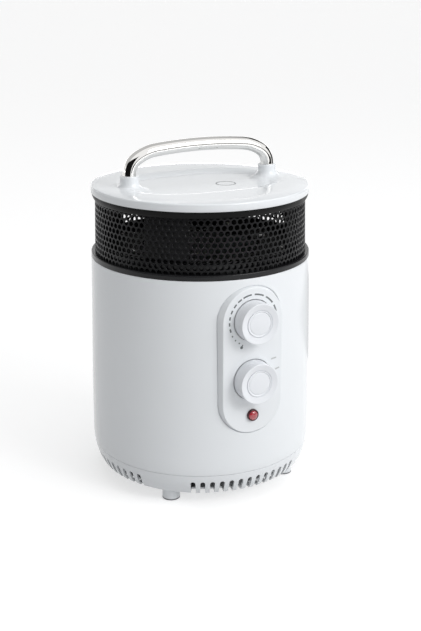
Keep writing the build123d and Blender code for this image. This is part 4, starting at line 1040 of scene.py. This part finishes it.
def build_lid():
    pts = []

    def too_near(x, y, lim):
        return any(math.hypot(x - s2 * BOSS_X, y) < lim for s2 in (1, -1))

    # rings about each boss, fine where the flare is steep
    ring_d = [6.05, 6.6, 7.1, 7.5, 7.8, 8.0, 8.1, 8.16, 8.25, 8.35, 8.5, 8.7, 8.95, 9.3, 9.8, 10.5, 11.4, 12.5, 13.8, 15.2, 16.6, 18.0, 19.4]
    RN = 72
    for side in (1, -1):
        for d in ring_d:
            for j in range(RN):
                a = 2 * math.pi * (j + (0.5 if ring_d.index(d) % 2 else 0.0)) / RN if d > 9.0 else 2 * math.pi * j / RN
                x, y = side * BOSS_X + d * math.cos(a), d * math.sin(a)
                if math.hypot(x, y) < 90.3:
                    pts.append((x, y))
    EDGE_R, EN = 91.0, 256
    for j in range(EN):
        a = 2 * math.pi * j / EN
        pts.append((EDGE_R * math.cos(a), EDGE_R * math.sin(a)))
    rr = 89.4
    level = 0
    while rr > 1.0:
        n = max(12, int(2 * math.pi * rr / 1.7))
        for j in range(n):
            a = 2 * math.pi * (j + 0.5 * (level % 2)) / n
            x, y = rr * math.cos(a), rr * math.sin(a)
            if not too_near(x, y, 20.2):
                pts.append((x, y))
        rr -= 1.5
        level += 1
    pts.append((0.0, 0.0))
    v2, _, f2, *_ = delaunay_2d_cdt([Vector(p) for p in pts], [], [], 0, 1e-4)
    lv, lf = [], []
    for v in v2:
        x, y = v.x, v.y
        d = min(math.hypot(x - s2 * BOSS_X, y) for s2 in (1, -1))
        r = math.hypot(x, y)
        if d <= 8.1001:
            z = 284.6 + 0.4 * math.sin(math.acos(min(1.0, max(0.0, (d - 7.6) / 0.5)))) if d > 7.6 else 285.0
        else:
            z = lid_surface(x, y)
        lv.append((x, y, z))
    for f in f2:
        c = [sum(lv[i][k] for i in f) / len(f) for k in (0, 1)]
        if any(math.hypot(c[0] - s2 * BOSS_X, c[1]) < 6.04 for s2 in (1, -1)):
            continue
        lf.append(list(f))
    # sockets down into the bosses
    for side in (1, -1):
        top = []
        for j in range(RN):
            a = 2 * math.pi * j / RN
            top.append((side * BOSS_X + 6.05 * math.cos(a), 6.05 * math.sin(a)))
        o = len(lv)
        for x, y in top:
            lv.append((x, y, 285.0))
        for x, y in top:
            lv.append((x, y, 277.0))
        for j in range(RN):
            k = (j + 1) % RN
            lf.append([o + j, o + k, o + RN + k, o + RN + j])
    # rim and underside
    def dome(r):
        return 275.0 - 1.0 * ((r - 82.0) / 14.5) ** 2

    rim_path = [(r, dome(r)) for r in (91.0, 92.2, 93.4, 94.6)]
    slope = -2.0 * (96.2 - 82.0) / 14.5 ** 2
    corner = dome(96.2) + slope * (98.85 - 96.2)
    rim_path += fillet_path([(95.4, dome(95.4)), (96.0, dome(96.0)), (98.85, corner, 2.6), (98.85, 267.4), (98.55, 266.9, 0.3), (96.4, 266.9), (96.1, 267.2),
                             (96.1, 269.4), (95.2, 270.4), (92.6, 270.8), (0.0, 270.8)], step=7.0, support=0.2)
    rv, rf = lathe_data(rim_path, EN, closed=False)
    v3, f3 = join_data((lv, lf), (rv, rf))
    me = bpy.data.meshes.new("lid_skin")
    me.from_pydata([(v[0] * MM, v[1] * MM, v[2] * MM) for v in v3], [], f3)
    bm = bmesh.new()
    bm.from_mesh(me)
    bmesh.ops.remove_doubles(bm, verts=bm.verts, dist=3e-6)
    bmesh.ops.recalc_face_normals(bm, faces=bm.faces)
    up_face = max(bm.faces, key=lambda g: g.calc_center_median().z)
    if up_face.normal.z < 0:
        bmesh.ops.reverse_faces(bm, faces=bm.faces)
    bm.to_mesh(me)
    bm.free()
    for p in me.polygons:
        p.use_smooth = True
    me.set_sharp_from_angle(angle=math.radians(50))
    normals = [(0.0, 0.0, 0.0)] * len(me.loops)
    for q in me.polygons:
        cos = [me.vertices[i].co / MM for i in q.vertices]
        if all(c.z > 271.0 and math.hypot(c.x, c.y) < 91.05 and min(math.hypot(c.x - b5, c.y) for b5 in (BOSS_X, -BOSS_X)) > 8.12
               and abs(c.z - lid_surface(c.x, c.y)) < 0.01 for c in cos):
            for li in q.loop_indices:
                c = me.vertices[me.loops[li].vertex_index].co / MM
                h = 0.04
                gx = (lid_surface(c.x + h, c.y) - lid_surface(c.x - h, c.y)) / (2 * h)
                gy = (lid_surface(c.x, c.y + h) - lid_surface(c.x, c.y - h)) / (2 * h)
                normals[li] = tuple(Vector((-gx, -gy, 1.0)).normalized())
    me.normals_split_custom_set(normals)
    me.materials.append(white)
    ob = bpy.data.objects.new("lid_skin", me)
    scene.collection.objects.link(ob)
    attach(ob, "housing")
    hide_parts("lid")
    return ob


build_lid()

# plain printed ring on the lid, where the pocket is flat
lm = []
for r0, r1 in ((8.25, 9.3),):
    v, f = [], []
    n = 96
    for j in range(n):
        a = 2 * math.pi * j / n
        for r in (r0, r1):
            x, y = 21.5 + r * math.cos(a), -9.1 + r * math.sin(a)
            z = lid_surface(x, y)
            v.append((x, y, z + 0.06))
            v.append((x, y, z - 0.05))
    for j in range(n):
        o, q = 4 * j, 4 * ((j + 1) % n)
        f += [[o, q, q + 2, o + 2], [o + 1, o + 3, q + 3, q + 1], [o, o + 1, q + 1, q], [o + 2, q + 2, q + 3, o + 3]]
    lm.append((v, f))
new_piece("lid_ring_mark", *join_data(*lm), body="housing", slot="black_plastic", material=ink, weighted=False)

# ------------------------------------------------------------------ handle: chrome tube along tangent arcs


def handle_line():
    corner_r, corner_t, shoulder_r, shoulder_t = 16.0, 57.0, 42.0, 27.0
    crown_t = 90.0 - corner_t - shoulder_t
    a_c, a_k = math.radians(90 - corner_t), math.radians(crown_t)
    dx1, dz1 = corner_r * (1 - math.sin(a_c)), corner_r * math.cos(a_c)
    dx2, dz2 = shoulder_r * (math.sin(a_c) - math.sin(a_k)), shoulder_r * (math.cos(a_k) - math.cos(a_c))
    crown_r = (BOSS_X - dx1 - dx2) / math.sin(a_k)
    z0 = 308.2 - dz1 - dz2 - crown_r * (1 - math.cos(a_k))
    pts = [(-BOSS_X, 277.0, 90.0), (-BOSS_X, 281.0, 90.0)]
    x, z, ang = -BOSS_X, z0, 90.0
    pts.append((x, z, ang))
    for r, t, n in ((corner_r, corner_t, 22), (shoulder_r, shoulder_t, 16), (crown_r, 2 * crown_t, 30), (shoulder_r, shoulder_t, 16), (corner_r, corner_t, 22)):
        cx, cz = x + r * math.sin(math.radians(ang)), z - r * math.cos(math.radians(ang))
        for j in range(1, n + 1):
            a = math.radians(ang - t * j / n)
            pts.append((cx - r * math.sin(a), cz + r * math.cos(a), ang - t * j / n))
        x, z, ang = pts[-1][0], pts[-1][1], ang - t
    pts.append((BOSS_X, 281.0, -90.0))
    pts.append((BOSS_X, 277.0, -90.0))
    return pts


tube = handle_line()
hv, hf = [], []
HN = 56
for x, z, ang in tube:
    a = math.radians(ang)
    nx, nz = -math.sin(a), math.cos(a)
    for j in range(HN):
        p = 2 * math.pi * j / HN
        hv.append((x + 6.0 * math.cos(p) * nx, 6.0 * math.sin(p), z + 6.0 * math.cos(p) * nz))
for i in range(len(tube) - 1):
    for j in range(HN):
        k = (j + 1) % HN
        hf.append([i * HN + j, i * HN + k, (i + 1) * HN + k, (i + 1) * HN + j])
hf.append([j for j in range(HN)])
hf.append([(len(tube) - 1) * HN + j for j in reversed(range(HN))])
new_piece("handle_tube", hv, hf, body="housing", replaces=("handle",), slot="chrome_tube", material=chrome, weighted=False)

# ------------------------------------------------------------------ stage, light and camera

floor_mat, nt, b = nodes_of("floor")
b.inputs["Roughness"].default_value = 0.9
b.inputs["Specular IOR Level"].default_value = 0.1
n = noise(nt, 0.6, 1.0)
ramp = nt.nodes.new("ShaderNodeValToRGB")
ramp.color_ramp.elements[0].color = (0.56, 0.565, 0.57, 1)
ramp.color_ramp.elements[1].color = (0.57, 0.57, 0.57, 1)
nt.links.new(n.outputs["Fac"], ramp.inputs["Fac"])
nt.links.new(ramp.outputs["Color"], b.inputs["Base Color"])
b.inputs["Emission Color"].default_value = (1, 1, 1, 1)
seen_by = nt.nodes.new("ShaderNodeLightPath")
glow = nt.nodes.new("ShaderNodeMapRange")
for key, val in (("From Min", 0.0), ("From Max", 1.0), ("To Min", 0.58), ("To Max", 0.0)):
    glow.inputs[key].default_value = val
nt.links.new(seen_by.outputs["Is Diffuse Ray"], glow.inputs["Value"])
nt.links.new(glow.outputs["Result"], b.inputs["Emission Strength"])
me = bpy.data.meshes.new("floor")
S = 20.0
me.from_pydata([(-S, -S, -0.0002), (S, -S, -0.0002), (S, S, -0.0002), (-S, S, -0.0002)], [], [[0, 1, 2, 3]])
me.materials.append(floor_mat)
floor = bpy.data.objects.new("floor", me)
scene.collection.objects.link(floor)

HEAD = math.radians(26.555)
FWD = Vector((math.sin(HEAD), math.cos(HEAD), 0))
RIGHT = Vector((math.cos(HEAD), -math.sin(HEAD), 0))
UP = Vector((0, 0, 1))


def place(right, back, up):
    """A point beside the object as seen from the front three-quarter view."""
    return RIGHT * right - FWD * back + UP * up


def softbox(name, where, size, power, target=(0, 0, 0.16), size_y=None, color=(1, 1, 1)):
    data = bpy.data.lights.new(name, "AREA")
    data.shape = "RECTANGLE"
    data.size = size
    data.size_y = size_y or size
    data.energy = power
    data.color = color
    ob = bpy.data.objects.new(name, data)
    ob.location = where
    ob.rotation_euler = (Vector(target) - Vector(where)).to_track_quat("-Z", "Y").to_euler()
    scene.collection.objects.link(ob)
    return ob


def card(name, where, w, h, shade, target=(0, 0, 0.2)):
    """A flat studio card that shapes the reflections; it isn't seen directly."""
    m, nt2, b5 = nodes_of(name)
    b5.inputs["Base Color"].default_value = (shade, shade, shade, 1)
    b5.inputs["Roughness"].default_value = 0.9
    b5.inputs["Specular IOR Level"].default_value = 0.0
    me2 = bpy.data.meshes.new(name)
    me2.from_pydata([(-w / 2, -h / 2, 0), (w / 2, -h / 2, 0), (w / 2, h / 2, 0), (-w / 2, h / 2, 0)], [], [[0, 1, 2, 3]])
    me2.materials.append(m)
    ob = bpy.data.objects.new(name, me2)
    ob.location = where
    ob.rotation_euler = (Vector(target) - Vector(where)).to_track_quat("-Z", "Y").to_euler()
    ob.visible_camera = False
    ob.visible_shadow = False
    ob.visible_diffuse = False
    scene.collection.objects.link(ob)
    return ob


softbox("key", place(1.25, 0.85, 1.05), 1.0, 11.5, size_y=0.9)
softbox("glint", place(1.12, 0.92, 1.02), 0.13, 1.7)
softbox("top", place(0.2, 0.1, 1.8), 1.4, 4.0).visible_glossy = False
card("dark_front", place(-0.39, 0.88, 0.58), 2.0, 1.17, 0.01, target=(0, 0, 0.58))
card("dark_strip", place(1.04, 0.60, 0.14), 1.2, 0.18, 0.01, target=(0, 0, 0.14))
card("dark_right", place(0.95, -0.55, 0.40), 0.9, 0.70, 0.04, target=(0, 0, 0.40))
card("grey_floor", place(0.29, -0.45, 0.004), 0.42, 0.38, 0.60, target=place(0.29, -0.451, 1.0))
card("dark_high", place(0.60, -0.85, 0.98), 0.70, 0.50, 0.03, target=(0, 0, 0.30))

world = bpy.data.worlds.new("studio")
scene.world = world
world.use_nodes = True
nt = world.node_tree
bg = nt.nodes["Background"]
coord = nt.nodes.new("ShaderNodeTexCoord")


def facing(direction):
    d = nt.nodes.new("ShaderNodeVectorMath")
    d.operation = "DOT_PRODUCT"
    d.inputs[1].default_value = direction.normalized()
    nt.links.new(coord.outputs["Generated"], d.inputs[0])
    return d.outputs["Value"]


def to_range(socket, a, b6, lo, hi, kind="LINEAR"):
    m = nt.nodes.new("ShaderNodeMapRange")
    m.interpolation_type = kind
    for key, val in (("From Min", a), ("From Max", b6), ("To Min", lo), ("To Max", hi)):
        m.inputs[key].default_value = val
    nt.links.new(socket, m.inputs["Value"])
    return m.outputs["Result"]


def blend_by(factor, low, high):
    m = nt.nodes.new("ShaderNodeMix")
    m.data_type = "FLOAT"
    nt.links.new(factor, m.inputs["Factor"])
    for key, val in (("A", low), ("B", high)):
        if isinstance(val, float):
            m.inputs[key].default_value = val
        else:
            nt.links.new(val, m.inputs[key])
    return m.outputs["Result"]


# soft light from the right and above for matt surfaces
soft = to_range(facing(RIGHT * 0.8 - FWD * 0.25 + UP * 0.5), -0.9, 0.75, 0.17, 0.76)
# what gloss surfaces mirror: a grey hall behind with a bright lower band, a white front
band = nt.nodes.new("ShaderNodeValToRGB")
band.color_ramp.interpolation = "LINEAR"
els = band.color_ramp.elements
els[0].position, els[1].position = 0.0, 1.0
els[0].color, els[1].color = (1.0, 1.0, 1.0, 1), (0.19, 0.19, 0.19, 1)
for pos, val in ((0.07, 1.0), (0.09, 0.22), (0.165, 0.22), (0.20, 0.35), (0.27, 0.34), (0.38, 0.19)):
    e = els.new(pos)
    e.color = (val, val, val, 1)
nt.links.new(facing(UP), band.inputs["Fac"])
behind = to_range(band.outputs["Color"], 0.0, 1.0, 0.0, 3.0)
mirror = blend_by(to_range(facing(Vector((0.12, -1, 0))), -0.02, 0.12, 0.0, 1.0, "SMOOTHSTEP"), behind, 1.0)
light_path = nt.nodes.new("ShaderNodeLightPath")
either = blend_by(light_path.outputs["Is Glossy Ray"], soft, mirror)
seen = blend_by(light_path.outputs["Is Camera Ray"], either, 1.0)
nt.links.new(seen, bg.inputs["Strength"])
bg.inputs["Color"].default_value = (1, 1, 1, 1)

cam = bpy.data.cameras.new("camera")
cam.sensor_fit = "VERTICAL"
cam.sensor_height = 36.0
cam.sensor_width = 36.0
cam.lens = 62.267
cam.shift_y = -0.1
cam.clip_start = 0.01
cam.clip_end = 100.0
camera = bpy.data.objects.new("camera", cam)
camera.location = (-0.42715, -0.87579, 0.46355)
camera.rotation_euler = (math.radians(75.2605), 0.0, math.radians(-26.555))
scene.collection.objects.link(camera)
scene.camera = camera
